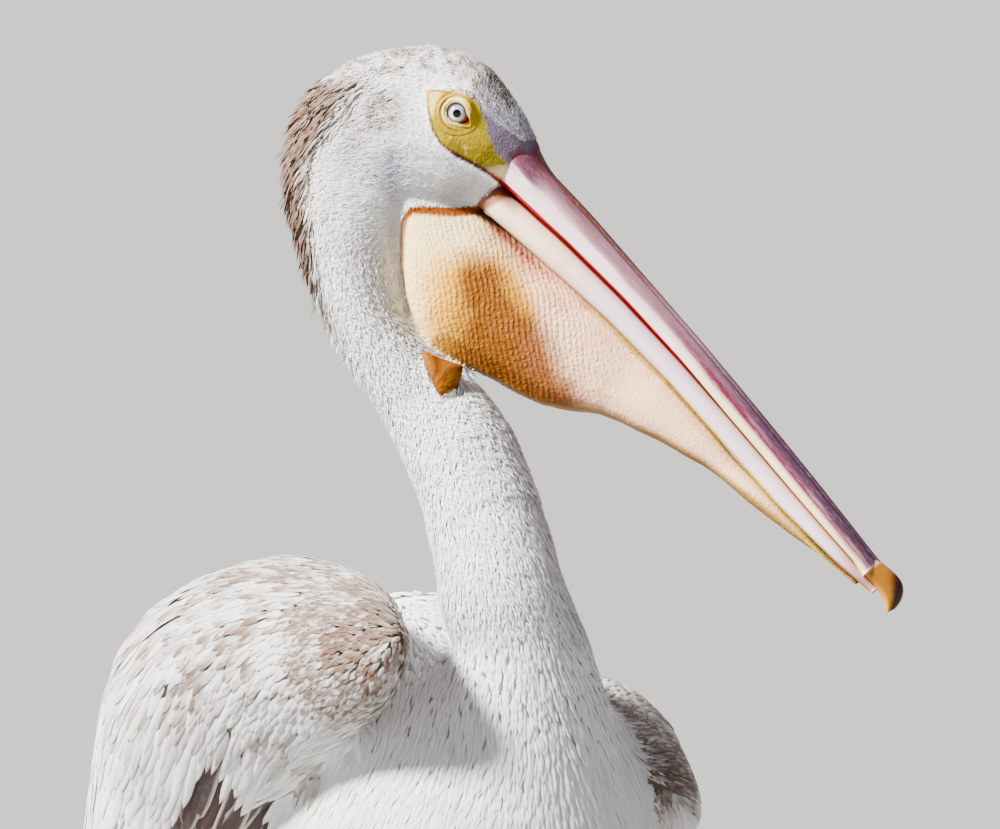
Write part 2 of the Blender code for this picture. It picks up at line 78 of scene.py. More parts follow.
# %% Head frame
HEAD_TURN = math.radians(44)
HEAD_NOD = math.radians(46)
HEAD_TIP = math.radians(8)
EYE_FORWARD, EYE_UP = 4.3, 5.0


def unit(v):
    return v / np.maximum(np.linalg.norm(v, axis=-1, keepdims=True), 1e-12)


def middle(node):
    low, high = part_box(node)
    return np.array((low + high) / 2)


def head_axes():
    ahead = np.array((math.sin(HEAD_TURN) * math.cos(HEAD_NOD),
                      -math.cos(HEAD_TURN) * math.cos(HEAD_NOD), -math.sin(HEAD_NOD)))
    up = unit(np.array((0, 0, 1)) - ahead * ahead[2])
    left = np.cross(up, ahead)
    tipped = up * math.cos(HEAD_TIP) + left * math.sin(HEAD_TIP)
    return np.column_stack((ahead, np.cross(tipped, ahead), tipped))


HEAD = head_axes()
BETWEEN_EYES = (middle("eye_left") + middle("eye_right")) / 2
HEAD_AT = BETWEEN_EYES - HEAD @ np.array((EYE_FORWARD, 0, EYE_UP)) * MM


def from_head(points):
    return HEAD_AT + np.asarray(points, float) @ HEAD.T * MM


def to_head(points):
    return (np.asarray(points, float) - HEAD_AT) @ HEAD / MM


across_eyes = unit(middle("eye_left") - middle("eye_right"))
print("eye line against the head's y axis", round(float(across_eyes @ HEAD[:, 1]), 4))

# %% [markdown]
# ## Camera and light
# The bird is seen from its right front, a little above the shoulder, through a long lens that
# keeps the bill from looking stretched. The light is a soft studio one: a broad key from high on
# the left, so that the neck turns from light to shade, a weak fill in front and one lamp behind.

# %% Camera
VIEW_TURN = math.radians(-28)
VIEW_RISE = math.radians(6)
VIEW_DISTANCE = 3.6
LENS = 223.45
LOOK_AT = HEAD_AT + np.array((-0.0010, -0.0560, -0.1711))


def add_camera():
    back = np.array((math.sin(VIEW_TURN) * math.cos(VIEW_RISE),
                     -math.cos(VIEW_TURN) * math.cos(VIEW_RISE), math.sin(VIEW_RISE)))
    data = bpy.data.cameras.new("camera")
    data.lens = LENS
    data.sensor_width = 36
    made = bpy.data.objects.new("camera", data)
    bpy.context.scene.collection.objects.link(made)
    made.location = LOOK_AT + back * VIEW_DISTANCE
    made.rotation_euler = Vector(-back).to_track_quat("-Z", "Y").to_euler()
    bpy.context.scene.camera = made
    return made


camera = add_camera()
print("camera at", [round(v, 3) for v in camera.location])


# %% Lights
LAMPS = (
    ("key", "SUN", (-3.1, 0.15, 3.6), math.radians(11), 24.0, (1.0, 0.975, 0.94)),
    ("fill", "AREA", (0.5, -3.6, 1.4), 2.5, 4, (0.93, 0.95, 1.0)),
    ("back", "AREA", (1.6, 2.8, 2.4), 1.5, 14, (1.0, 0.98, 0.95)))
ROOM_COLOUR = (0.88, 0.90, 1.0)
ROOM_STRENGTH = 0.42


def add_lamp(name, kind, place, size, power, colour):
    """size is a disc's width in metres, or for a far lamp its angle across."""
    data = bpy.data.lights.new(name, kind)
    if kind == "AREA":
        data.shape = "DISK"
        data.size = size
    else:
        data.angle = size
    data.energy = power
    data.color = colour
    made = bpy.data.objects.new(name, data)
    bpy.context.scene.collection.objects.link(made)
    made.location = place
    aim = Vector(LOOK_AT) - Vector(place)
    made.rotation_euler = aim.to_track_quat("-Z", "Y").to_euler()


for lamp in LAMPS:
    add_lamp(*lamp)
world = bpy.data.worlds.new("studio")
bpy.context.scene.world = world
world.use_nodes = True
room = world.node_tree.nodes["Background"]
room.inputs["Color"].default_value = (*ROOM_COLOUR, 1)
room.inputs["Strength"].default_value = ROOM_STRENGTH
print("lamps", len(LAMPS), "power", [lamp[4] for lamp in LAMPS])

# %% [markdown]
# ## Shader sums as Python
# A material is a net of small nodes. Wrapping one socket in a class that knows plus, minus and
# times lets the net be written as the formula it is. Everything else comes from one method,
# which takes a node's type, its settings and its sockets.


# %% Wires
class Wire:
    """One socket of a material's net, written as a value."""

    def __init__(self, tree, socket=None):
        self.tree = tree
        self.socket = socket

    def node(self, kind, settings=None, sockets=None, out=0):
        made = self.tree.nodes.new("ShaderNode" + kind)
        for name, value in (settings or {}).items():
            if name == "stops":
                ramp = made.color_ramp
                for at, colour in value[2:]:
                    ramp.elements.new(at)
                for element, (at, colour) in zip(ramp.elements, sorted(value)):
                    element.position = at
                    element.color = (*colour, 1)
            else:
                setattr(made, name, value)
        for name, value in (sockets or {}).items():
            if isinstance(value, Wire):
                self.tree.links.new(made.inputs[name], value.socket)
            else:
                made.inputs[name].default_value = value
        return Wire(self.tree, made.outputs[out])

    def sum(self, operation, a, b=0.0, clamp=False):
        return self.node("Math", {"operation": operation, "use_clamp": clamp}, {0: a, 1: b})

    def __add__(self, other):
        return self.sum("ADD", self, other)

    def __radd__(self, other):
        return self.sum("ADD", other, self)

    def __sub__(self, other):
        return self.sum("SUBTRACT", self, other)

    def __rsub__(self, other):
        return self.sum("SUBTRACT", other, self)

    def __mul__(self, other):
        return self.sum("MULTIPLY", self, other)

    def __rmul__(self, other):
        return self.sum("MULTIPLY", other, self)

    def clamped(self):
        return self.sum("ADD", self, 0.0, clamp=True)

    def size(self):
        return self.sum("ABSOLUTE", self)

    def parts(self):
        """The three numbers of a vector."""
        split = self.node("SeparateXYZ", None, {0: self})
        return [Wire(self.tree, split.socket.node.outputs[k]) for k in range(3)]

    def mixed(self, other, share, how="MIX"):
        """This colour with another over it. Colours only."""
        settings = {"data_type": "RGBA", "blend_type": how}
        other = other if isinstance(other, Wire) else (*other, 1)
        return self.node("Mix", settings, {0: share, 6: self, 7: other}, out=2)

    def kept(self, name, out=0):
        """What the mesh keeps for each point: out 0 reads a colour, 1 a vector, 2 a number."""
        return self.node("Attribute", {"attribute_name": name}, out=out)

    def noise(self, place, scale, detail, **more):
        return self.node("TexNoise", None, {"Vector": place, "Scale": scale, "Detail": detail, **more})

    def relief(self, strength, distance):
        """This height as small bumps, for a shader's Normal."""
        return self.node("Bump", None, {"Strength": strength, "Distance": distance, "Height": self})


def new_material(name, roughness, **constants):
    """A Principled material. Returns it, its shader and a wire to start from."""
    made = bpy.data.materials.new(name)
    made.use_nodes = True
    shader = made.node_tree.nodes["Principled BSDF"]
    shader.inputs["Roughness"].default_value = roughness
    for socket, value in constants.items():
        shader.inputs[socket.replace("_", " ")].default_value = value
    return made, shader, Wire(made.node_tree)


def feed(shader, **wires):
    for socket, wire in wires.items():
        wire.tree.links.new(shader.inputs[socket.replace("_", " ")], wire.socket)


def rgb(red, green, blue, lit=2.6):
    """A colour as it should look under the bright lamps. The paint itself is mixed deeper."""
    light = np.array([((c / 255 + 0.055) / 1.055) ** 2.4 for c in (red, green, blue)])
    top, least = light.max(), light.min() / light.max()
    bright = top * (1 + 9.5 * top ** 4 * math.sqrt(least)) / lit
    return tuple(float(v) for v in min(0.9, bright) * (light / top) ** (1 + 1.4 * top ** 4))


print("deep orange paint", [round(c, 3) for c in rgb(208, 112, 14)])


# %% [markdown]
# ## Working with many points at once
# Thousands of feathers are only quick to make as whole arrays. These helpers give a smooth random
# field, the distance into a drawn outline, a soft step, a colour laid over another, and a mesh
# from arrays.

# %% Smooth randomness and soft steps
def cloud(points, size, seed=0):
    """A smooth random field of about -1 to 1, with bumps of the given size."""
    q = np.asarray(points, float) / size
    cell = np.floor(q).astype(np.int64)
    f = q - cell
    f = f * f * (3 - 2 * f)
    total = np.zeros(len(q))
    for corner in np.ndindex(2, 2, 2):
        c = cell + corner
        h = c[:, 0] * 73856093 ^ c[:, 1] * 19349663 ^ c[:, 2] * 83492791 ^ (seed + 1) * 40503
        h = (h ^ (h >> 13)) * 1274126177
        h = (h ^ (h >> 16)) & 0xFFFF
        share = np.prod(np.where(np.array(corner) == 1, f, 1 - f), axis=1)
        total += (h / 32767.5 - 1) * share
    return total


def soft(value, low, high):
    """0 below low, 1 above high, smooth between."""
    t = np.clip((value - low) / (high - low), 0, 1)
    return t * t * (3 - 2 * t)


def bump(values, centre, width):
    """1 at the centre, falling smoothly to 0 on both sides."""
    return np.exp(-((values - centre) / width) ** 2)


print("cloud test", round(float(cloud(np.zeros((1, 3)), 1.0)[0]), 3))

# %% Places on a drawing
def from_edges(points, starts, edges):
    """The way to each point from its nearest place on each straight edge, and the share along it."""
    rel = points[:, None, :] - starts
    along = np.clip((rel * edges).sum(2) / (edges * edges).sum(1), 0, 1)
    return rel - along[:, :, None] * edges, along


def depth_in(points, outline):
    """How deep each flat point lies in a closed outline; negative outside it."""
    a = np.array(outline, float)
    edge = np.roll(a, -1, axis=0) - a
    distance = np.linalg.norm(from_edges(points, a, edge)[0], axis=2).min(1)
    b = a + edge
    crosses = (a[:, 1] > points[:, None, 1]) != (b[:, 1] > points[:, None, 1])
    rise = np.where(np.abs(edge[:, 1]) < 1e-9, 1e-9, edge[:, 1])
    at = a[:, 0] + (points[:, None, 1] - a[:, 1]) / rise * edge[:, 0]
    odd = (crosses & (points[:, None, 0] < at)).sum(1) % 2 == 1
    return np.where(odd, distance, -distance)


def from_line(points, line):
    """Distance of flat points from an open line, and how far along it they are, 0 to 1."""
    a = np.array(line, float)
    away, along = from_edges(points, a[:-1], np.diff(a, axis=0))
    distance = np.linalg.norm(away, axis=2)
    best = distance.argmin(1)
    rows = np.arange(len(points))
    return distance[rows, best], (best + along[rows, best]) / (len(a) - 1)


SQUARE = ((0, 0), (1, 0), (1, 1), (0, 1))
print("middle of a square lies in", float(depth_in(np.array([[0.5, 0.5]]), SQUARE)[0]))

# %% Paint and mesh from arrays
def over(base, *coats):
    """Coats of paint over a base, in order: each a colour and its share at every point."""
    base = np.asarray(base)
    for colour, share in coats:
        share = np.asarray(share)[..., None]
        base = base * (1 - share) + np.asarray(colour) * share
    return base


def array_mesh(name, verts, faces, material):
    """A smooth mesh object from arrays: faces is a list of index arrays, each of one corner count."""
    mesh = bpy.data.meshes.new(name)
    corners = np.concatenate([f.ravel() for f in faces]).astype(np.int32)
    counts = np.concatenate([np.full(len(f), f.shape[1], np.int32) for f in faces])
    starts = np.concatenate(([0], np.cumsum(counts)[:-1])).astype(np.int32)
    mesh.vertices.add(len(verts))
    mesh.vertices.foreach_set("co", np.asarray(verts, np.float32).ravel())
    mesh.loops.add(len(corners))
    mesh.loops.foreach_set("vertex_index", corners)
    mesh.polygons.add(len(counts))
    mesh.polygons.foreach_set("loop_start", starts)
    mesh.update(calc_edges=True)
    mesh.shade_smooth()
    mesh.materials.append(material)
    made = bpy.data.objects.new(name, mesh)
    bpy.context.scene.collection.objects.link(made)
    return made


def paint(thing, name, values):
    """Keep a colour, vector or number for each vertex of a mesh."""
    values = np.asarray(values, np.float32)
    if values.ndim == 1:
        layer = thing.data.attributes.new(name, "FLOAT", "POINT")
        layer.data.foreach_set("value", values)
    elif name == "tint":
        layer = thing.data.attributes.new(name, "FLOAT_COLOR", "POINT")
        values = np.column_stack((values, np.ones(len(values), np.float32)))
        layer.data.foreach_set("color", values.ravel())
    else:
        layer = thing.data.attributes.new(name, "FLOAT_VECTOR", "POINT")
        layer.data.foreach_set("vector", values.ravel())


print("half white over black", over((0.0, 0.0, 0.0), ((1, 1, 1), 0.5)).tolist())

# %% [markdown]
# ## One skin for all the flesh
# The solids meet with hairline gaps. Melting them together as one volume and smoothing the
# result gives a single continuous skin with soft folds where parts meet. The head and pouch are
# melted at a fine grain, the trunk and wings at a coarse one and the legs between the two, and
# the three overlap where feathers hide it.

# %% Which solids are flesh
FINE = 0.0013
BROAD = 0.004
LEG = 0.0014
SWELL = 0.0008
TOES = ("hind", "inner", "middle", "outer")
HEAD_FLESH = ["head", "neck_upper", "neck_middle", "pouch", "gular_lobe"]
WING_FLESH = [f"wing_{side}_{part}" for side in ("left", "right")
              for part in ("arm", "vanes", "primaries")]
BODY_FLESH = ["neck_middle", "neck_lower", "trunk", "tail", "thigh_left", "thigh_right",
              *WING_FLESH]
LEG_FLESH = ["shank_left", "foot_left", "shank_right", "foot_right"]
FLESH = sorted(set(HEAD_FLESH + BODY_FLESH + LEG_FLESH))


print("flesh solids", len(FLESH))

# %% Solids as arrays
def node_arrays(node):
    """A solid's vertices, with those at one place made one, and its triangles."""
    mesh = frame["nodes"][node].data
    mesh.calc_loop_triangles()
    verts = np.empty(len(mesh.vertices) * 3)
    mesh.vertices.foreach_get("co", verts)
    tris = np.empty(len(mesh.loop_triangles) * 3, np.int32)
    mesh.loop_triangles.foreach_get("vertices", tris)
    verts, place = np.unique(verts.reshape(-1, 3).round(6), axis=0, return_inverse=True)
    return verts, place.ravel()[tris].reshape(-1, 3)


def swollen(verts, tris):
    """The vertices pushed outwards, so that neighbouring solids bite into each other."""
    face = np.cross(verts[tris[:, 1]] - verts[tris[:, 0]], verts[tris[:, 2]] - verts[tris[:, 0]])
    normal = np.zeros_like(verts)
    for k in range(3):
        np.add.at(normal, tris[:, k], face)
    return verts + unit(normal) * SWELL


print("trunk triangles", len(node_arrays("trunk")[1]))

# %% The throat lobe
LOBE = ((88, -102.5), (101, -97), (116, -89), (122, -96), (126, -104), (125, -110), (120, -112),
        (110, -111), (99, -107.5))
LOBE_OUT = 33.4
LOBE_SLOPE = 0.675
LOBE_HALF_THICK = 5.5


def lobe_arrays():
    """The gular lobe as a soft three-cornered flap, hung under the pouch's rear corner."""
    outline = np.array(LOBE, float)
    centre = outline.mean(0)
    turns, rows = 36, 9
    angle = np.linspace(0, 2 * math.pi, turns, endpoint=False)
    spoke = unit(np.column_stack((np.cos(angle), np.sin(angle))))
    reach = np.array([max(t for t in np.linspace(1, 26, 101)
                          if depth_in((centre + s * t)[None, :], LOBE)[0] > 0) for s in spoke])
    tilt = np.linspace(-math.pi / 2, math.pi / 2, rows)[:, None]
    flat = centre + spoke[None] * (reach * np.cos(tilt))[..., None]
    y = LOBE_SLOPE * flat[..., 1] + LOBE_OUT - LOBE_HALF_THICK * np.sin(tilt) * np.ones(turns)
    grid = np.stack((flat[..., 0], y, flat[..., 1] + 2.5 * np.sin(tilt)), -1).reshape(-1, 3)
    quads = ring_faces(rows, turns, True)
    return from_head(grid), np.concatenate((quads[:, :3], quads[:, [0, 2, 3]]))


def ring_faces(rows, turns, flip):
    """Quads of a tube of points, given as rows of turns."""
    i, k = np.meshgrid(np.arange(rows - 1), np.arange(turns), indexing="ij")
    n = (k + 1) % turns
    quad = np.stack((i * turns + k, i * turns + n, (i + 1) * turns + n, (i + 1) * turns + k), -1)
    quad = quad.reshape(-1, 4)
    return quad[:, ::-1] if flip else quad


print("lobe points", len(lobe_arrays()[0]))

# %% Melt
def joined(nodes, swell=False):
    """Vertices and triangles of several nodes, and each triangle's node number."""
    verts, tris, owner, start = [], [], [], 0
    for number, node in enumerate(nodes):
        v, t = lobe_arrays() if node == "gular_lobe" else node_arrays(node)
        verts.append(swollen(v, t) if swell else v)
        tris.append(t + start)
        owner.append(np.full(len(t), number))
        start += len(v)
    return np.concatenate(verts), np.concatenate(tris), np.concatenate(owner)


def melt(nodes, grain, rounds):
    """Vertices and quads of one closed surface round the nodes."""
    verts, tris, _ = joined(nodes, swell=True)
    rough = array_mesh("melt", verts, [tris], None)
    whole = rough.modifiers.new("whole", "REMESH")
    whole.mode = "VOXEL"
    whole.voxel_size = grain
    calm = rough.modifiers.new("calm", "SMOOTH")
    calm.factor = 0.5
    calm.iterations = rounds
    shape = rough.evaluated_get(bpy.context.evaluated_depsgraph_get())
    mesh = bpy.data.meshes.new_from_object(shape)
    out = np.empty(len(mesh.vertices) * 3)
    mesh.vertices.foreach_get("co", out)
    quads = np.empty(len(mesh.polygons) * 4, np.int32)
    mesh.loops.foreach_get("vertex_index", quads)
    bpy.data.objects.remove(rough)
    bpy.data.meshes.remove(mesh)
    return out.reshape(-1, 3), quads.reshape(-1, 4)


# %% Shells
class Shell:
    """One closed surface as arrays, with what each of its points belongs to."""

    def __init__(self, verts, quads):
        self.verts = verts
        self.quads = quads
        self.normals = self.find_normals()
        self.verts = verts - self.normals * SWELL
        self.owner = nearest_part(self.verts)

    def find_normals(self):
        v, q = self.verts, self.quads
        face = np.cross(v[q[:, 2]] - v[q[:, 0]], v[q[:, 3]] - v[q[:, 1]])
        total = np.zeros_like(v)
        for k in range(4):
            np.add.at(total, q[:, k], face)
        return unit(total)

    def spread(self, values, rounds):
        """Values of the points, evened out over their neighbours."""
        a = self.quads.ravel()
        b = np.roll(self.quads, -1, axis=1).ravel()
        count = np.bincount(a, minlength=len(self.verts)) + np.bincount(b, minlength=len(self.verts))
        for _ in range(rounds):
            total = np.bincount(a, values[b], len(self.verts)) + np.bincount(b, values[a], len(self.verts))
            values = 0.5 * values + 0.5 * total / count
        return values


flesh_verts, flesh_tris, flesh_owner = joined(FLESH)
flesh_tree = BVHTree.FromPolygons(flesh_verts.tolist(), flesh_tris.tolist())


def nearest_part(points):
    return np.array([flesh_owner[flesh_tree.find_nearest(p)[2]] for p in points.tolist()])


def is_part(owner, *names):
    return np.isin(owner, [FLESH.index(n) for n in names])


head_shell = Shell(*melt(HEAD_FLESH, FINE, 6))
body_shell = Shell(*melt(BODY_FLESH, BROAD, 8))
leg_shell = Shell(*melt(LEG_FLESH, LEG, 3))
SHELLS = (head_shell, body_shell, leg_shell)
print("skin quads", [len(s.quads) for s in SHELLS])

# %% [markdown]
# ## What is bare and what is feathered
# A pelican's face is bare round the eye and along the gape, and its pouch is bare up to a sharp
# line on the cheek. These outlines are drawn on the side of the head, in its own frame. The
# cheek swells outwards, so the drawing is slid forwards and up with the swell.

# %% Outlines on the head
ORBIT = ((-21.5, -4), (-18.5, 0), (-14.5, 3.5), (-8, 9), (-1, 12), (5, 13.5), (14.5, 13), (22, 14.5),
         (30, 16.6), (39.5, 18.5), (43, 25), (60, 25), (60, -7), (51, -9), (40.8, -10.3), (29, -14),
         (18.2, -18.3), (7, -19.9), (-2.2, -18), (-11.8, -12.5), (-18, -7.7))
YELLOW = ((-13, -13), (-22, -5), (-21, 0), (-12.3, 8), (-5.5, 12), (0.3, 13.6), (9, 12), (16, 8.6), (26, 2.5),
          (41, 0.7), (37, -7), (29, -15), (18, -19.5), (7, -21), (-3, -19))
POUCH_BORDER = ((57, -14.6), (52, -21), (48.5, -25.8), (39, -38.6), (27.6, -49.3), (21.3, -56.6),
                (22.6, -64.5), (31.5, -75), (43.2, -85.8), (54, -95.6), (66, -102.6), (85, -110))
POUCH = (*POUCH_BORDER, (100, -128), (420, -128), (420, 0), (70, -8))
SLOPE = math.radians(48)
GAPE_FOLD = ((12, -18.6), (20, -17), (31, -13), (40, -10.5), (50, -7), (60, -6))


def side_of_head(points):
    """Flat place on the drawn side of the head, in millimetres."""
    h = to_head(points)
    swell = np.abs(h[:, 1]) / 31
    return np.column_stack((h[:, 0] - EYE_FORWARD * swell, h[:, 2] - EYE_UP * swell))


def upright(flat):
    """Places on the side of the head with the bill sloping down, as right and up."""
    x, z = flat[:, 0], flat[:, 1]
    return (x * math.cos(SLOPE) + z * math.sin(SLOPE), z * math.cos(SLOPE) - x * math.sin(SLOPE))


def bareness(points, owner):
    """Millimetres into bare skin; negative under feathers."""
    flat = side_of_head(points)
    depth = np.maximum(depth_in(flat, ORBIT), depth_in(flat, POUCH))
    depth = np.where(is_part(owner, "head", "pouch"), depth, -9.0)
    return np.where(is_part(owner, "gular_lobe", *LEG_FLESH), 9.0, depth)


for shell in SHELLS:
    shell.bare = bareness(shell.verts, shell.owner)
print("bare points of the head shell", int((head_shell.bare > 0).sum()))

# %% [markdown]
# ## The skin's own relief
# Under feathers the skin sinks by the depth of the plumage, so that the feathers bring the
# outline back to the solids' own. Where the skin is bare it carries its relief itself: a
# rolled rim where the pouch begins, the drawn-in gape, and the pouch's slack wrinkles, which
# run down from the jaw and fade towards the tip of the bill.

# %% Sink
COAT_DEPTH = {"head": 1.8, "neck_upper": 2.4, "neck_middle": 2.5, "neck_lower": 2.7, "trunk": 3.8,
              "tail": 3.0, "thigh": 4.0, "arm": 3.6, "vanes": 4.4, "primaries": 3.0}
RIDGE_STEP = 3.1
RIDGE_LEAN = math.radians(32)
THICKEST = 30.0
MOST_SUNK = 0.33
HEAD_ENDS, BODY_ENDS = 0.28, 0.66
TUCK = 3.0


def coat_depth(owner):
    depth = np.zeros(len(owner))
    for number, node in enumerate(FLESH):
        for word, value in COAT_DEPTH.items():
            if word in node:
                depth[owner == number] = value
    return depth


def thickness(shell):
    """How thick the body is under each point, in millimetres up to THICKEST."""
    tree = BVHTree.FromPolygons(shell.verts.tolist(), shell.quads.tolist())
    found = []
    for p, n in zip(shell.verts, shell.normals):
        hit = tree.ray_cast(Vector(p - n * 0.4 * MM), Vector(-n), THICKEST * MM)
        found.append(THICKEST if hit[3] is None else hit[3] / MM)
    return np.array(found)


def share_of_joint(points):
    """How far up the stretch of neck that two melts share, 0 at its foot and 1 at its top."""
    foot, top = (np.mean(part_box(n), axis=0) for n in ("neck_lower", "neck_upper"))
    axis = unit(top - foot)
    reach = node_arrays("neck_middle")[0] @ axis
    return (points @ axis - reach.min()) / np.ptp(reach)


def sink(shell):
    """Lower the skin by the plumage's depth, and tuck each melt's end under the other melt."""
    depth = coat_depth(shell.owner) * soft(-shell.bare, -0.4, 2.5)
    depth = np.minimum(shell.spread(depth, 10), shell.spread(thickness(shell), 4) * MOST_SUNK)
    share = share_of_joint(shell.verts)
    past_end = HEAD_ENDS - share if shell is head_shell else share - BODY_ENDS
    depth = depth + TUCK * soft(past_end, 0, 0.15) * is_part(shell.owner, "neck_middle")
    shell.coat = depth
    shell.verts = shell.verts - shell.normals * depth[:, None] * MM


print("deepest plumage, mm", max(COAT_DEPTH.values()))

# %% Wrinkles
def wrinkle_field(points, owner, bare):
    """For each point: how many wrinkles across it lies, how far along, and how strong they are."""
    h = to_head(points)
    x, z = side_of_head(points).T
    wander = cloud(h, 24, 1) * 2.4 + cloud(h, 8, 2) * 0.8 + cloud(h, 3.2, 5) * 0.35
    across = (x * math.sin(RIDGE_LEAN) + z * math.cos(RIDGE_LEAN) + wander) / RIDGE_STEP
    along = x * math.cos(RIDGE_LEAN) - z * math.sin(RIDGE_LEAN)
    middle_run = soft(128 - np.hypot(x - 98, (z + 60) / 0.6), 20, 90)
    strong = (0.16 + 0.84 * middle_run) * soft(x, 10, 50) * soft(280 - x, 0, 170)
    below = soft(-23 - z + np.interp(x, (50, 120, 200, 360), (0, 6, 10, 12)), 0, 7)
    strong = strong * below * soft(bare, 0.5, 6) * is_part(owner, "pouch", "head")
    return np.column_stack((across, along, strong))


def pouch_relief(shell):
    """Height in millimetres of the pouch's wrinkles and rims over the smooth skin."""
    h = to_head(shell.verts)
    flat = side_of_head(shell.verts)
    across, along, strong = shell.wrinkle.T
    pearls = cloud(np.column_stack((across * 1.3, along / 2.4, across * 0)), 1.0, 3)
    ridge = np.abs(np.sin(math.pi * across)) ** 1.2 * (0.75 + 0.35 * pearls)
    on_pouch = is_part(shell.owner, "pouch", "head") * (depth_in(flat, POUCH) > 0)
    relief = 0.55 * ridge * strong + cloud(h, 1.8, 4) * 0.10 * soft(flat[:, 0], 90, 150) * on_pouch
    relief += cloud(h, 26, 6) * 1.3 * on_pouch * soft(shell.bare, 3, 14)
    relief += 0.6 * bump(shell.bare, 1.2, 1.0) * on_pouch
    u, w = upright(flat)
    hollow = bump(u, -35, 9) * bump(w, -32, 12) + 0.5 * bump(u, 0, 9) * bump(w, -46, 5)
    relief -= 1.6 * hollow * is_part(shell.owner, "head")
    fold, share = from_line(flat, GAPE_FOLD)
    return relief - 1.1 * bump(fold, 0, 1.2) * soft(share, 0, 0.3) * (np.abs(h[:, 1]) > 8)


for shell in SHELLS:
    shell.wrinkle = wrinkle_field(shell.verts, shell.owner, shell.bare)
    sink(shell)
head_shell.verts = head_shell.verts + head_shell.normals * pouch_relief(head_shell)[:, None] * MM
for shell in SHELLS:
    shell.normals = shell.find_normals()
print("plumage depth, mm", [round(float(v), 1) for v in (body_shell.coat.min(), body_shell.coat.max())])

# %% [markdown]
# ## Colours of the bare skin
# Bare skin is coloured from inside: yellow round the eye, lilac towards the bill, a rust rim
# round the pouch, and a pouch that goes from cream at the rear, through gold and a deep orange
# where it is thinnest, to a pale dotted pink. It could be painted as one picture, but here each
# tone is a soft coat laid over the last, so any of them can be moved without touching the others.

# %% Paint chart for skin and horn
LILAC = rgb(146, 134, 160)
YELLOW_SKIN = rgb(222, 198, 34)
OLIVE = rgb(150, 136, 24)
ORANGE_LINE = rgb(214, 118, 18)
RUST = rgb(190, 96, 18, lit=3.0)
WINE = rgb(150, 48, 62)
RED_LINE = rgb(212, 30, 10)
CREAM = rgb(252, 240, 208)
GOLD = (0.78, 0.36, 0.02)
DEEP_ORANGE = (0.135, 0.036, 0.001)
DUSKY_ROSE = rgb(200, 124, 80, lit=3.2)
SHELL_PINK = rgb(238, 212, 188)
YELLOW_EDGE = rgb(216, 164, 34, lit=3.2)
WHITE = (0.93, 0.92, 0.905)
SHADOW_LILAC = (0.42, 0.39, 0.50)
LEG_ORANGE = rgb(218, 142, 58)
WEB_YELLOW = rgb(236, 170, 84)
JAW_LINE = ((50, 80, 120, 150, 200, 300), (-26, -22, -17, -14, -12, -13))
HEM_LINE = ((62, 86, 116, 152, 168, 186, 222, 250, 300, 350, 362),
            (-97, -107, -95, -82, -72, -56, -40, -31, -21, -12, -9.6))
print("rust paint", [round(c, 3) for c in RUST])


# %% Pouch colours
def pouch_tint(h, flat):
    """Colour of the pouch at points in the head's frame."""
    x, z = flat.T
    waver = cloud(h, 14, 11) * 5 + cloud(h, 5, 13) * 2
    into_orange = (x - 54.5) * 0.70 + (z + 63.1) * 0.71 + waver
    into_pale = (x - 93.8) * 0.315 + (z + 33.8) * 0.949 + waver * 0.8
    below_jaw = np.interp(x, *JAW_LINE) - z
    above_hem = z - np.interp(x, *HEM_LINE)
    under_jaw = soft(-upright(flat)[1] + waver, 76, 98)
    speckle = soft(cloud(h, 9, 12) + 0.6 * cloud(h, 2.4, 14), -0.3, 0.9)
    seam = np.abs(below_jaw - 1.5 + cloud(h * (0.3, 1, 1), 4, 15) * 0.5)
    rim, share = from_line(flat, POUCH_BORDER)
    thick = 6.6 - 2.4 * soft(share, 0.35, 0.6)
    return over(
        CREAM,
        (GOLD, soft(into_orange, -22, 3) * under_jaw),
        (DEEP_ORANGE, soft(into_orange, 0, 22) * 0.97 * soft(-z + waver, 30, 52) * under_jaw),
        (DUSKY_ROSE, 0.75 * soft(x + 0.4 * z + waver * 0.5, 88, 116) * soft(z, -96, -70)),
        (DEEP_ORANGE, 0.8 * soft(24 - above_hem, 0, 16) * soft(x, 84, 104) * soft(178 - x, 0, 30)),
        (SHELL_PINK, soft(into_pale, -10, 8)),
        (rgb(218, 164, 144), 0.7 * speckle * soft(into_pale, -4, 8) * soft(240 - x, 0, 120)),
        (rgb(200, 108, 78), 0.8 * soft(below_jaw, 20, 4) * soft(below_jaw, 1, 5)
         * soft(x, 52, 68) * soft(104 - x, -20, 14)),
        (rgb(158, 42, 58), 0.85 * soft(8 - below_jaw, 0, 5) * soft(x, 36, 44) * soft(104 - x, 0, 34)),
        (YELLOW_EDGE, 0.9 * soft(6 - above_hem, 0, 5) * soft(x, 96, 130)),
        (rgb(224, 206, 92), 0.85 * soft(1.7 - seam, 0, 1.3) * soft(x, 112, 150)),
        (RUST, soft(thick - rim, 0, 1.8) * (1.0 - 0.45 * soft(share, 0.5, 0.75))))


print("mid pouch", pouch_tint(np.array([[120.0, 20, -50]]), np.array([[120.0, -50]])).round(2).tolist())

# %% Face colours
def ring_coats(h, reach, u, yellow):
    """Orange rings in the yellow skin round the eye."""
    shade = 0.35 + 0.65 * soft(-u, -6, 4)
    return [(rgb(206, 120, 10), yellow * strength * bump(reach - radius, cloud(h, 6, 23) * 0.6, 0.62) * shade)
            for radius, strength in ((10.2, 1.0), (13.4, 0.35), (8.6, 0.3))]


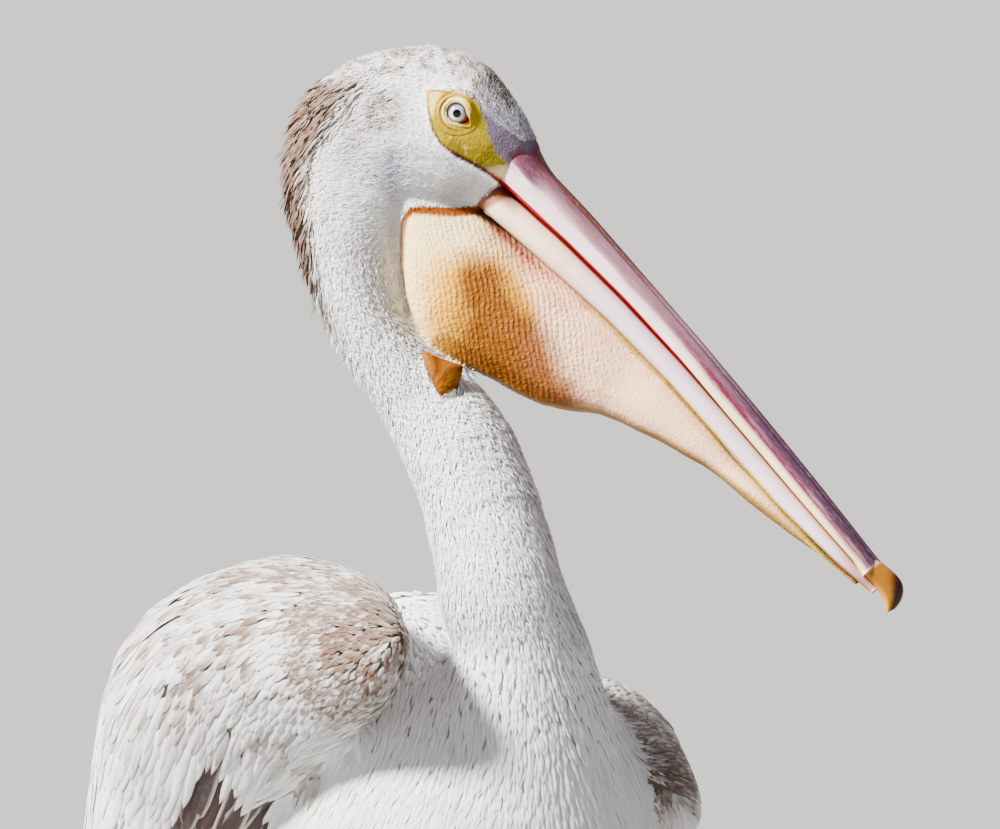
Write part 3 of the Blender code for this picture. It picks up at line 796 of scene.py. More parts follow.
def face_tint(h, flat):
    """Colour of the bare face at points in the head's frame, with painted highlights on the yellow skin round
    the eye.
    """
    x, z = flat.T
    u, w = upright(flat)
    crease = from_line(flat, ((48, -2), (54, 2.5), (61, 5)))[0]
    yellow = soft(depth_in(flat, YELLOW) + cloud(h, 4, 21) * 1.6, -1.2, 1.2)
    patchy = soft(cloud(h, 9, 22) + 0.35 * cloud(h, 2.2, 25), -1.0, 0.6)
    reach = np.hypot(x, z)
    upper = soft(-u * 0.7 + w * 0.7, -4, 4)
    hem = depth_in(flat, ORBIT)
    hem_colour = over(ORANGE_LINE, (rgb(84, 46, 24), soft(-8 - z, 0, 4)))
    fold, along = from_line(flat, GAPE_FOLD)
    gape_colour = over(rgb(96, 24, 34), (RED_LINE, soft(along, 0.45, 0.85)))
    return over(
        LILAC,
        (rgb(150, 142, 158), 0.7 * soft(cloud(h, 6, 20), -0.2, 0.7)),
        (rgb(146, 58, 66), 0.9 * soft(cloud(h * (0.4, 1, 1), 2.6, 26), -0.4, 0.4) * bump(x, 45, 8)
         * soft(18 - z, 0, 6)),
        (rgb(126, 44, 84), 0.9 * soft(x - 48 + 0.4 * (z - 10), -2, 5) * soft(z, 2, 8)),
        (CREAM, 0.9 * soft(x, 34, 44) * soft(4.5 - z - 0.1 * (x - 40), 0, 5)),
        (rgb(196, 70, 48), 0.75 * soft(1.6 - crease, 0, 1.2)),
        (YELLOW_SKIN, yellow),
        (OLIVE, yellow * 0.95 * patchy * soft(x * 0.8 - z * 0.5 + 1, 0, 20)),
        # Painted highlight: a near-white patch on the yellow skin above and behind the eye.
        (rgb(250, 236, 160), yellow * 0.8 * soft(-u + w * 0.35, 10, 15) * soft(w, -6, 2)),
        # Painted highlights: pale cream specks along a wrinkle below the eye.
        (rgb(250, 238, 160), yellow * 0.75 * soft(cloud(h, 1.8, 27), 0.15, 0.7)
         * bump(z + 13 - 0.1 * x, 0, 3) * soft(x, 2, 10)),
        # Painted highlight: a pale ring round the eye, strongest on its upper rear side.
        (rgb(250, 242, 200), yellow * soft(9.6 - reach, 0, 1.5) * (0.25 + 0.6 * upper)),
        *ring_coats(h, reach, u, yellow),
        (hem_colour, soft(2.3 - hem, 0, 1.5) * soft(26 - x, 0, 8) * soft(-z + 9, 0, 6)),
        (gape_colour, soft(2.9 - fold, 0, 1.4) * soft(along, 0.0, 0.12)))


print("before the eye", face_tint(np.array([[20.0, 28, 0]]), np.array([[20.0, 0]])).round(2).tolist())

# %% Lobe, legs and all bare skin
def lobe_tint(h):
    """Colour of the throat lobe, with dark lines of painted shade for creases running out from its middle."""
    around = np.arctan2(h[:, 2] + 112, h[:, 0] - 116)
    # Painted shade: dark lines where creases running out from the middle would be shaded.
    painted_crease_shade = np.abs(np.sin(around * 4.5 + cloud(h, 6, 24) * 1.4)) ** 3
    return over(rgb(204, 132, 12, lit=3.2), (rgb(120, 60, 6), 0.85 * painted_crease_shade),
                (rgb(226, 160, 60), 0.8 * soft(-h[:, 2], 112, 117)))


def leg_tint(mm):
    """Colour of shanks and webs, at points in millimetres."""
    return over(LEG_ORANGE, (WEB_YELLOW, soft(cloud(mm, 18, 31), -0.4, 0.6)),
                (rgb(186, 102, 52), 0.4 * soft(cloud(mm, 5, 32), 0.1, 0.8)))


def bare_tint(points, owner):
    """Colour of the bare skin, wherever it is."""
    h = to_head(points)
    flat = side_of_head(points)
    pouch = is_part(owner, "pouch") | (depth_in(flat, POUCH) > depth_in(flat, ORBIT))
    tint = face_tint(h, flat)
    for where, colour in ((pouch, pouch_tint(h, flat)), (is_part(owner, "gular_lobe"), lobe_tint(h)),
                          (is_part(owner, *LEG_FLESH), leg_tint(points / MM))):
        tint = np.where(where[:, None], colour, tint)
    return tint


print("lobe", lobe_tint(np.array([[116.0, 30, -105]])).round(2).tolist())

# %% [markdown]
# ## Markings of the plumage
# This bird is white with the taupe-brown of a young or resting-season pelican: dark flecks on
# the crown, a soft brown patch behind the eye, a shaggy brown crest down the nape, mottled
# wrists, and brown-black flight feathers. Skin and feathers ask the same function, so a gap
# between feathers shows the colour of the feathers.

# %% A thread through the body
def trunk_point(back, rise):
    low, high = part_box("trunk")
    return np.array((0, low[1] + (high[1] - low[1]) * back, low[2] + (high[2] - low[2]) * rise))


def thread():
    """Points of a line through head, neck, trunk and tail."""
    head = [from_head(p) for p in ((-15, 0, -20), (-12, 0, -75), (30, -4, -112))]
    neck = [middle("neck_middle"), middle("neck_lower")]
    trunk = [trunk_point(b, r) for b, r in ((0.12, 0.90), (0.13, 0.70), (0.22, 0.53), (0.35, 0.42),
                                            (0.50, 0.35), (0.66, 0.28), (0.82, 0.18))]
    return np.array([*head, *neck, *trunk, middle("tail")])


THREAD = thread()
NAPE_WAY = unit(np.array((-math.sin(HEAD_TURN), math.cos(HEAD_TURN), 0.15)))


def behind(points):
    """How squarely a point lies on the nape side of the thread, -1 to 1."""
    away = from_edges(points, THREAD[:-1], np.diff(THREAD, axis=0))[0]
    best = np.linalg.norm(away, axis=2).argmin(1)
    return unit(away[np.arange(len(points)), best]) @ NAPE_WAY


def above_eye(points):
    return (points[:, 2] - BETWEEN_EYES[2]) / MM


# %% Browns, and places on the wing
TAUPE = (0.165, 0.098, 0.056)
BROWN = (0.115, 0.050, 0.022)
BLACKISH = (0.045, 0.022, 0.020)
WING_RUN = unit(np.array((0.12, 0.80, -0.58)))
CROWN = ((-64, -60), (-68, -42), (-66, -22), (-53, -4), (-39, 12.5), (-22, 26), (-4, 31), (8, 29))
BROW = ((-7, 32), (4, 31), (13, 27))


def wrist(side):
    low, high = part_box(f"wing_{side}_arm")
    outer = low[0] if side == "right" else high[0]
    return np.array((outer * 0.80, low[1], high[2] - 0.035))


def run_on_wing(points, side):
    """How far back along the wing from its wrist, in metres."""
    along = WING_RUN * np.array((1 if side == "right" else -1, 1, 1))
    return (points - wrist(side)) @ along


print("wrists", wrist("right").round(3).tolist(), wrist("left").round(3).tolist())

# %% Markings of head and neck
def nape_share(points, owner):
    """1 where the shaggy crest grows."""
    rise = above_eye(points)
    run = soft(rise, -185, -95) * soft(26 - rise, 0, 12)
    return soft(behind(points), 0.45, 0.75) * run * is_part(owner, "head", "neck_upper", "neck_middle")


def brown_of_head(points, owner):
    """Brown and darkness of the markings on head and neck."""
    h = to_head(points)
    flat = side_of_head(points)
    u, w = upright(flat)
    rise = above_eye(points)
    scaly = soft(cloud(h, 3.0, 41) + 0.5 * cloud(h, 1.7, 42), -0.35, 0.45)
    crown = soft(16 - from_line(flat, CROWN)[0], 0, 7) * scaly
    brow = soft(5.5 - from_line(flat, BROW)[0], 0, 4) * soft(cloud(h, 3, 43), -0.5, 0.3)
    ear = soft(1.5 - np.hypot((u + 41) / 11, (w - 1) / 14), 0, 0.9) * soft(cloud(h, 3.5, 44), -0.8, 0.3)
    round_ear = 0.5 * bump(u, -60, 11) * bump(w, -14, 24)
    band = 0.28 * bump(u + 0.12 * (w + 85), -53, 9) * bump(w, -84, 36)
    nape = nape_share(points, owner) * (0.30 + 1.0 * soft(rise + 25 * cloud(h, 6, 50), -135, -60))
    nape = nape * soft(0.6 * cloud(h, 5, 51) + 1.8 * soft(rise, -170, -70), 0.1, 0.9)
    root = 0.85 * bump(h[:, 0], 43, 4) * soft(h[:, 2], 15, 19)
    brown = np.max((crown, brow, ear, round_ear, band, nape, root), axis=0)
    ear_dark = 0.6 * ear * soft(cloud(h, 2.2, 45), 0, 0.6)
    dark = np.max((brow, 0.8 * nape, 0.6 * crown * scaly, ear_dark), axis=0)
    return np.where(is_part(owner, "head", "neck_upper", "neck_middle"), (brown, dark), 0)


print("nape faces", NAPE_WAY.round(2).tolist())

# %% Markings of the wings
def wing_side(owner, side):
    return is_part(owner, *(f"wing_{side}_{p}" for p in ("arm", "vanes", "primaries")))


def low_edge(side):
    """The lower edge of a folded wing: places along the body and the wing's lowest height there."""
    verts = body_shell.verts[wing_side(body_shell.owner, side)]
    at = np.linspace(verts[:, 1].min(), verts[:, 1].max(), 60)
    return at, np.array([verts[np.abs(verts[:, 1] - y) < 0.008, 2].min() for y in at])


LOW_EDGE = {side: low_edge(side) for side in ("left", "right")}


def over_edge(points, side):
    """Metres above the wing's lower edge."""
    return points[:, 2] - np.interp(points[:, 1], *LOW_EDGE[side])


STRIP_HEIGHT = 0.052
STRIP_FRONT = -0.19


def flight_share(points, owner):
    """1 where the dark flight feathers show: the wing tip and a strip along the lower edge."""
    share = np.zeros(len(points))
    for side in ("left", "right"):
        strip = soft(STRIP_HEIGHT - over_edge(points, side), 0, 0.008)
        strip = strip * soft(points[:, 1], STRIP_FRONT, STRIP_FRONT + 0.025)
        share = np.maximum(share, strip * wing_side(owner, side))
    return np.maximum(share, is_part(owner, "wing_left_primaries", "wing_right_primaries"))


def brown_of_wing(points, owner, side):
    """Brown and darkness of the markings on one wing."""
    on_wing = wing_side(owner, side)
    run = run_on_wing(points, side)
    low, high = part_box(f"wing_{side}_arm")
    height = (points[:, 2] - (high[2] - 0.65 * np.maximum(run, 0))) / 0.12
    mm = points / MM
    patch = soft(cloud(mm, 15, 47) + 0.6 * cloud(mm, 5, 48), -0.7, 0.5)
    streaks = soft(cloud(mm * (1, 0.35, 0.5), 7, 49), -0.1, 0.6)
    near = soft(0.10 - run, 0, 0.06) * soft(height, -0.5, -0.2) * (0.55 + 0.45 * patch)
    top = 0.75 * soft(0.24 - run, 0, 0.12) * soft(height, -0.15, 0.15) * (0.3 + 0.7 * patch)
    rows = 0.5 * streaks * soft(run, 0.06, 0.10) * soft(0.24 - run, 0, 0.06) * soft(height, -0.6, -0.2)
    brown = np.max((near, top, rows), axis=0) * on_wing
    return brown, 0.9 * soft(near * soft(0.07 - run, 0, 0.05), 0.25, 0.8) * on_wing


print("lower edge of a wing, m", LOW_EDGE["right"][1][[0, -1]].round(3).tolist())

# %% All the markings together
def brownness(points, owner):
    """Share of brown, 0 to 1, and how dark that brown is, for points on the feathered skin."""
    brown, dark = brown_of_head(points, owner)
    chest = is_part(owner, "neck_middle", "neck_lower", "trunk")
    chest_side = chest * soft(points[:, 0], -0.01, 0.03) * soft(points[:, 2], 0.50, 0.58)
    brown = np.maximum(brown, 0.25 * chest_side * soft(cloud(points / MM, 7, 46), -0.4, 0.6))
    for side in ("right", "left"):
        more = brown_of_wing(points, owner, side)
        brown, dark = np.maximum(brown, more[0]), np.maximum(dark, more[1])
    return np.clip(brown, 0, 1), np.clip(dark, 0, 1)


def plumage_white_and_painted_shade(points, owner):
    """The white of the plumage, with lilac-grey painted shade in the cheek hollows, on the forehead's front
    and on the lower neck's side away from the key light.
    """
    u, w = upright(side_of_head(points))
    on_head = is_part(owner, "head")
    # Painted shade: lilac-grey in the hollows behind and below the eye, on the forehead's front and on the
    # lower neck's side away from the key light.
    hollow = 0.95 * bump(u, -36, 13) * bump(w, -32, 15) + 0.4 * bump(u, 0, 10) * bump(w, -46, 6)
    front = 0.75 * soft(u, 8, 22) * soft(w, -24, -10)
    neck = 0.40 * is_part(owner, "neck_middle", "neck_lower") * soft(points[:, 0], -0.02, 0.03)
    return over(WHITE, (SHADOW_LILAC, np.clip((hollow + front) * on_head + neck, 0, 1)))


def plumage_tint(points, owner):
    brown, dark = brownness(points, owner)
    return over(plumage_white_and_painted_shade(points, owner), (TAUPE, brown), (BROWN, brown * dark),
                (BLACKISH, 0.9 * flight_share(points, owner)))


def skin_tint(shell):
    bare = bare_tint(shell.verts, shell.owner)
    return over(plumage_tint(shell.verts, shell.owner), (bare, soft(shell.bare, -0.6, 0.6)))


for shell in SHELLS:
    shell.tint = skin_tint(shell)
print("mean brownness of the head", round(float(brownness(head_shell.verts, head_shell.owner)[0].mean()), 3))

# %% [markdown]
# ## Skin material
# The painted tones come through an attribute; small procedural nodes add what is too fine to
# paint: pores and dots on the pouch, fine creases, and scales on the legs. The creases carry
# a painted highlight along their crests and painted shade in their grooves. Bare skin is
# slightly damp and glossy, skin under feathers is dull.


# %% Skin material
def skin_material():
    made, shader, w = new_material("living_skin", 0.55, Subsurface_Weight=0.10, Subsurface_Scale=0.003,
                                   Specular_IOR_Level=0.08)
    tint = w.kept("tint")
    bare = w.kept("bare", out=2)
    across, along, strong = w.kept("wrinkle", out=1).parts()
    beads = w.node("CombineXYZ", None, {0: across * 1.3, 1: along * 0.42})
    pearls = w.noise(beads, 1.0, 2.0)
    ridge = w.sum("SINE", across * math.pi).size()
    crest = ridge * (pearls * 4.2 - 1.6).clamped() * strong
    groove = (1 - ridge) * (1 - ridge) * strong
    place = w.node("NewGeometry")
    dots = w.node("TexVoronoi", {"feature": "F1"}, {"Vector": place, "Scale": 620.0})
    grain = w.noise(place, 900.0, 3.0)
    broad = w.noise(place, 130.0, 4.0)
    fleck = (1 - dots * 1.5).clamped() * bare * 0.20
    colour = tint.mixed(tint.mixed((0.34, 0.09, 0.02), 0.55), fleck)
    colour = colour.mixed((0.90, 0.62, 0.30), (broad - 0.52).clamped() * bare * 0.10)
    # Painted highlight on wrinkle crests, painted shade in the grooves; the crests also feed the bump.
    colour = colour.mixed(tint.mixed((0.95, 0.60, 0.12), 0.12), (crest * 0.6).clamped())
    colour = colour.mixed(colour.mixed((0.26, 0.05, 0.005), 0.6), (groove * 0.35).clamped())
    relief = (grain * 0.4 + dots * 0.7 + crest * 2.2).relief(0.45, 0.0007)
    feed(shader, Base_Color=colour, Roughness=0.70 - bare * 0.26, Normal=relief)
    return made


SKIN = skin_material()
print("skin material nodes", len(SKIN.node_tree.nodes))

# %% [markdown]
# ## Lids and the folds round the eye
# Round each eye the bare skin is thrown into rings: a smooth lid margin that touches the
# eyeball, then folds that flatten out into the cheek. A fine ring patch is drawn from the
# lid opening outwards. It joins the skin object, so the lids are part of the one skin.

# %% Lid rings
LID_TURNS = 72
LID_STEPS = 26
LID_OUT = 15.0
LID_HALF = (5.9, 5.5)
FOLD_STEP = 2.9
BALL = 8.5


def lid_opening(angle):
    """The lid's edge round the eye, in millimetres: nearly round, drawn out to a front corner."""
    corner = bump(np.mod(angle + math.pi - math.radians(3), 2 * math.pi), math.pi, 0.42)
    reach = 1 + 0.62 * corner
    return LID_HALF[0] * np.cos(angle) * reach, LID_HALF[1] * np.sin(angle) * (reach - 0.35 * corner)


def cheek_y(side, tree, xs, zs):
    """How far out the cheek lies at places beside the eye."""
    found = []
    for x, z in zip(xs, zs):
        start = from_head((x, side * 60, z))
        hit = tree.ray_cast(Vector(start), Vector(HEAD[:, 1] * -side), 0.06)
        found.append(to_head(hit[0])[1] * side if hit[0] is not None else 28.0)
    return np.array(found)


def lid_patch(side, tree):
    """Points of one eye's ring patch, in rows from the lid's edge outwards."""
    angle = np.linspace(0, 2 * math.pi, LID_TURNS, endpoint=False)
    edge_x, edge_z = lid_opening(angle)
    rows = []
    for step in np.linspace(-0.06, 1, LID_STEPS):
        share = max(step, 0.0) ** 1.25
        out_x = edge_x + (LID_OUT * np.cos(angle) - edge_x) * share
        out_z = edge_z + (LID_OUT * np.sin(angle) - edge_z) * share
        reach = np.hypot(out_x, out_z)
        ball_y = np.sqrt(np.maximum(BALL ** 2 - np.minimum(reach, 8.0) ** 2, 0)) + 24.0
        skin_y = cheek_y(side, tree, out_x + EYE_FORWARD, out_z + EYE_UP)
        cover = soft(reach, 8.5, 11.5)
        skin_y = skin_y * cover + np.maximum(skin_y, 30.6 - 0.02 * reach ** 1.5) * (1 - cover)
        away = np.hypot(out_x - edge_x, out_z - edge_z)
        height = ball_y * (1 - soft(away, 0, 2.2)) + skin_y * soft(away, 0, 2.2)
        margin = 0.95 * bump(away, 1.3, 0.9)
        folds = 0.34 * np.cos((away - 1.3) * 2 * math.pi / FOLD_STEP) * soft(away, 1.8, 3.0)
        folds = folds * soft(9.5 - away, 0, 6)
        y = height + 0.30 + margin + folds * (0.6 + 0.6 * np.cos(angle - math.radians(200)))
        y = y - 1.0 * soft(share, 0.82, 1.0) - (1.6 if step < 0 else 0)
        rows.append(np.column_stack((out_x + EYE_FORWARD, y * side, out_z + EYE_UP)))
    return from_head(np.array(rows).reshape(-1, 3))


head_tree = BVHTree.FromPolygons(head_shell.verts.tolist(), head_shell.quads.tolist())
lids = [(lid_patch(side, head_tree), ring_faces(LID_STEPS, LID_TURNS, side < 0)) for side in (-1, 1)]
print("lid points", [len(v) for v, _ in lids])


# %% Join the skin
def make_skin():
    """The three shells and the lids as one object that stands for all the flesh."""
    pieces = [(s.verts, s.quads, s.tint, soft(s.bare, -0.6, 0.6), s.wrinkle) for s in SHELLS]
    margin = soft(3.2 - np.repeat(np.arange(LID_STEPS), LID_TURNS), 0, 1.6)
    for verts, quads in lids:
        tint = over(face_tint(to_head(verts), side_of_head(verts)), (rgb(84, 46, 34), margin))
        pieces.append((verts, quads, tint, np.ones(len(verts)), np.zeros((len(verts), 3))))
    starts = np.cumsum([0] + [len(p[0]) for p in pieces])
    quads = np.concatenate([p[1] + start for p, start in zip(pieces, starts)])
    made = array_mesh("skin", np.concatenate([p[0] for p in pieces]), [quads], SKIN)
    for name, column in (("tint", 2), ("bare", 3), ("wrinkle", 4)):
        paint(made, name, np.concatenate([p[column] for p in pieces]))
    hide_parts(*FLESH)
    return made


skin = make_skin()
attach(skin, "root")
print("skin triangles", 2 * len(skin.data.polygons))

# %% [markdown]
# ## The bill
# Horn is the one hard surface of the head. Both jaws are drawn as cross sections set along
# the bill: the upper has a flat keel down its middle with a shallow groove on each side of it,
# the lower a straight rail. Each section is one formula, so the profile lines below are all
# that shapes the bill, and the hooked nail is a third set of sections.

# %% Profiles of the bill
CULMEN = ((40, 25), (50, 22), (62, 18.8), (100, 19.2), (200, 17.3), (250, 15.3), (300, 12.7), (361, 8.6))
GAPE = ((40, -10), (50, -7), (60, -6), (100, -1.7), (150, 1.1), (200, 1.6), (240, 0.4), (300, -1.3),
        (372, -2.2))
JAW_EDGE = ((40, -28), (50, -26), (80, -22), (120, -17), (150, -14), (200, -12), (300, -13),
            (345, -10), (371, -7))
BILL_WIDTH = ((40, 18.5), (50, 18), (100, 17), (200, 14), (270, 13), (330, 14.5), (361, 12.5))
JAW_WIDTH = ((44, 12), (50, 15.5), (58, 18), (100, 19), (200, 15), (270, 13), (330, 14), (356, 12),
             (371, 6))
KEEL_HALF = ((40, 6.5), (60, 5.0), (150, 4.2), (361, 3.2))
AROUND = 72


def line_at(points, x):
    """Height of a profile at x, eased at its points."""
    xs, ys = zip(*points)
    return np.mean([np.interp(np.asarray(x) + d, xs, ys) for d in (-6, -3, 0, 3, 6)], axis=0)


def signed_power(value, exponent):
    return np.sign(value) * np.abs(value) ** exponent


def section_grid(xs, top, bottom, half, pinch, flatness):
    """Sections along the bill, stations by points around, in the head's frame."""
    a = np.linspace(0, 2 * math.pi, AROUND, endpoint=False)[None, :]
    rise = np.cos(a)
    middle_z, half_z = ((top + bottom) / 2)[:, None], ((top - bottom) / 2)[:, None]
    z = middle_z + half_z * np.where(rise > 0, rise, signed_power(rise, flatness))
    y = half[:, None] * signed_power(np.sin(a), 0.8) * (1 - pinch * np.maximum(rise, 0) ** 1.5)
    return np.stack((np.broadcast_to(xs[:, None], z.shape), y, z), -1)


def grid_mesh(name, grid, material, tint, node):
    """A closed piece from a grid of sections, that stands for a solid node."""
    rows = len(grid)
    verts = grid.reshape(-1, 3)
    ends = [np.arange(AROUND)[::-1][None, :], (rows - 1) * AROUND + np.arange(AROUND)[None, :]]
    thing = array_mesh(name, from_head(verts), [ring_faces(rows, AROUND, True), *ends], material)
    paint(thing, "tint", tint)
    paint(thing, "horn", verts)
    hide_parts(node)
    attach(thing, "root")
    print(name, "quads", (rows - 1) * AROUND)


# %% [markdown]
# ## Horn
# The horn is white to cream along the mouth and mauve above, turning to a band of crimson and
# then purple on the outer half. Its streaks run lengthwise, so the noise that draws them is
# stretched along the bill. A thin red line of skin shows between the jaws.

# %% Horn material
MAUVE = rgb(186, 122, 146)
WARM_WHITE = rgb(228, 208, 210)
CRIMSON = rgb(160, 44, 88)
PURPLE = rgb(116, 70, 106)
STRAW = rgb(228, 216, 172)
JAW_PINK = rgb(216, 198, 210)
JAW_CREAM = rgb(248, 232, 214)
EDGE_YELLOW = rgb(226, 208, 84)
KEEL_BROWN = rgb(146, 70, 46)


def horn_material(name, streaks, roughness):
    made, shader, w = new_material(name, roughness, Specular_IOR_Level=0.15, Subsurface_Weight=0.06,
                                   Subsurface_Scale=0.003)
    tint = w.kept("tint")
    place = w.kept("horn", out=1)
    long = w.node("Mapping", None, {"Vector": place, "Scale": (0.035, 0.9, 0.9)})
    lines = w.noise(long, 1.0, 5.0, Roughness=0.62)
    short = w.node("Mapping", None, {"Vector": place, "Scale": (0.16, 0.8, 0.8)})
    dashes = w.noise(short, 1.3, 4.0)
    dark = ((lines - 0.5) * 3.0).clamped() * streaks
    light = ((dashes - 0.54) * 4.0).clamped() * streaks
    colour = tint.mixed((0.26, 0.06, 0.10), dark * 0.45).mixed((0.80, 0.72, 0.74), light * 0.22)
    relief = (lines + dashes * 0.5).relief(0.25, 0.0005)
    feed(shader, Base_Color=colour, Roughness=roughness + (dashes - 0.5) * 0.3, Normal=relief)
    return made


HORN = horn_material("bill_horn", 1.0, 0.40)
JAW_HORN = horn_material("jaw_horn", 0.45, 0.42)
NAIL_HORN = horn_material("nail_horn", 0.2, 0.30)
print("horn materials", [m.name for m in (HORN, JAW_HORN, NAIL_HORN)])


# %% Upper bill
def mouth_line(x, away, widths):
    """The red line of skin along the mouth as a coat of paint, orange on the outer half."""
    line = np.interp(x, (50, 70, 90, 160, 200, 240, 361), widths)
    return over(RED_LINE, (ORANGE_LINE, soft(x, 190, 240))), soft(line - away, -0.25, 0.25)


def bill_piece():
    xs = np.linspace(41, 361, 230)
    top, bottom, half = line_at(CULMEN, xs), line_at(GAPE, xs) + 0.15, line_at(BILL_WIDTH, xs)
    bottom = bottom - 1.6 * soft(xs, 350, 361)
    grid = section_grid(xs, top, bottom, half, 0.35, 0.4)
    x, y, z = grid[..., 0], grid[..., 1], grid[..., 2]
    keel = line_at(KEEL_HALF, x)
    upper_side = soft(z - (top + bottom)[:, None] / 2, 0, 3)
    groove = bump(np.abs(y) - keel, 1.3, 1.0) * upper_side
    grid[..., 2] -= (0.95 * groove - 0.25 * (np.abs(y) < keel) * upper_side) * soft(x, 64, 90)
    lip = bump(z - bottom[:, None], 1.4, 1.0)
    grid[..., 1] += np.sign(y) * 0.35 * lip
    verts = grid.reshape(-1, 3)
    grid[..., 2] += (0.10 * cloud(verts * (0.1, 1, 1), 1.6, 51)).reshape(x.shape)
    share = ((z - bottom[:, None]) / (top - bottom)[:, None]).ravel()
    x, y = x.ravel(), y.ravel()
    wave = cloud(verts * (0.12, 1, 1), 2.2, 52) * 0.10
    low = np.interp(x, (90, 180, 260, 340), (0.50, 0.46, 0.36, 0.28))
    band = soft(share - low + wave * 0.4, 0, 0.10) * soft(low + 0.42 - share, 0, 0.22)
    base = soft(84 - x - 30 * (share - 0.5), 0, 22)
    ridge = 0.9 * soft(7.5 - np.abs(y), 0, 2.5) * soft(share, 0.74, 0.90)
    tint = over(
        WARM_WHITE,
        (MAUVE, soft(share + wave, 0.38, 0.72) * 0.85),
        (STRAW, soft(x, 150, 245) * soft(0.42 - share, 0, 0.16) * 0.9),
        (CRIMSON, (0.25 + 0.75 * soft(x, 130, 230)) * soft(x, 84, 120) * band),
        (PURPLE, soft(x, 150, 270) * 0.92 * soft(share + wave * 0.6 - low, 0.20, 0.40)),
        (rgb(136, 60, 100), 0.9 * soft(share + wave, 0.42, 0.62) * base),
        (WINE, 0.6 * soft(share + wave, 0.68, 0.85) * soft(130 - x, 0, 45)),
        (KEEL_BROWN, ridge * soft(200 - x, 0, 80)),
        mouth_line(x, share * np.interp(x, xs, top - bottom), (3.6, 3.2, 2.5, 2.1, 1.7, 0.9, 0.5)))
    grid_mesh("bill_top", grid, HORN, tint, "upper_bill")


bill_piece()


# %% Lower bill
def jaw_piece():
    xs = np.linspace(49, 371, 230)
    top, bottom, half = line_at(GAPE, xs) + 0.35, line_at(JAW_EDGE, xs), line_at(JAW_WIDTH, xs)
    grid = section_grid(xs, top, bottom, half, 0.0, 0.7)
    x, y, z = grid[..., 0], grid[..., 1], grid[..., 2]
    rail = bump(z - bottom[:, None], 2.2, 0.9)
    grid[..., 1] += np.sign(y) * 0.4 * rail
    share = ((z - bottom[:, None]) / (top - bottom)[:, None]).ravel()
    x = x.ravel()
    drop = (1 - share) * np.interp(x, xs, top - bottom)
    lift = share * np.interp(x, xs, top - bottom)
    tint = over(
        JAW_CREAM,
        (JAW_PINK, soft(x, 90, 160)),
        (EDGE_YELLOW, 0.85 * soft(2.2 - np.abs(lift - 0.8), 0, 1.6) * soft(x, 120, 190)),
        (JAW_CREAM, 0.8 * soft(2.6 - drop, 0, 1.6)),
        (WINE, 0.75 * soft(74 - x, 0, 14) * soft(share, 0.45, 0.8)),
        (RUST, 0.9 * soft(57 - x + 5 * share, 0, 4)),
        mouth_line(x, drop, (1.2, 1.4, 1.5, 1.4, 1.1, 0.7, 0.5)),
        (rgb(206, 140, 124), 0.6 * soft(x, 335, 356)))
    grid_mesh("bill_bottom", grid, JAW_HORN, tint, "lower_bill")


jaw_piece()

# %% Nail
NAIL = ((358.5, 8.6, -2.6, 12.0), (363, 9.2, -2.8, 11.0), (369, 10.4, -2.9, 9.4), (376, 10.9, -3.4, 7.6),
        (381, 9.0, -5.0, 6.0), (384.5, 5.2, -6.8, 4.4), (386.3, 0.6, -7.9, 2.8), (386.6, -3.2, -7.6, 1.4))


def eased(values):
    """A column of numbers drawn out to 70 and evened over 13 neighbours."""
    t = np.linspace(0, len(values) - 1, 70)
    drawn = np.interp(t, np.arange(len(values)), values)
    return np.convolve(np.pad(drawn, 6, "edge"), np.full(13, 1 / 13), "valid")


def nail_piece():
    rows = np.array(NAIL, float)
    smooth = np.column_stack([eased(column) for column in rows.T])
    smooth[0], smooth[-1] = rows[0], rows[-1]
    xs, top, bottom, half = smooth.T
    grid = section_grid(xs, top, bottom, half, 0.3, 0.6)
    bow = (grid[..., 2] - bottom[:, None]) / (top - bottom)[:, None]
    grid[..., 0] -= 1.2 * (1 - bow) * soft(grid[..., 0], 366, 380)
    x, bow = grid[..., 0].ravel(), bow.ravel()
    outer = soft(bow + (x - 372) * 0.035, 0.62, 1.05) * soft(x, 363, 374)
    tint = over(rgb(212, 148, 30), (rgb(238, 190, 90), 0.6 * soft(0.35 - bow, 0, 0.3)),
                (rgb(76, 30, 34), outer * 0.95), (rgb(238, 206, 190), 0.8 * soft(362.5 - x, 0, 2)))
    grid_mesh("bill_hook", grid, NAIL_HORN, tint, "bill_nail")


nail_piece()

# %% [markdown]
# ## Eyes
# The eye is a ball with a clearer bulge over the iris. Modelling the cornea's bulge in the
# ball's own outline and giving the whole a wet coat keeps it one piece. The iris is pale
# blue-grey with fine spokes and a darker rim; the red corner of the inner lid sits in front.
# The iris is painted darker at the top, as the brow's shade, and lighter at its lower front,
# as painted light.

# %% Eye material
IRIS = 5.3
PUPIL = 2.45
EYE_LEAN = math.radians(8)
CORNEA_RISE, CORNEA_HALF = 0.55, 4.6


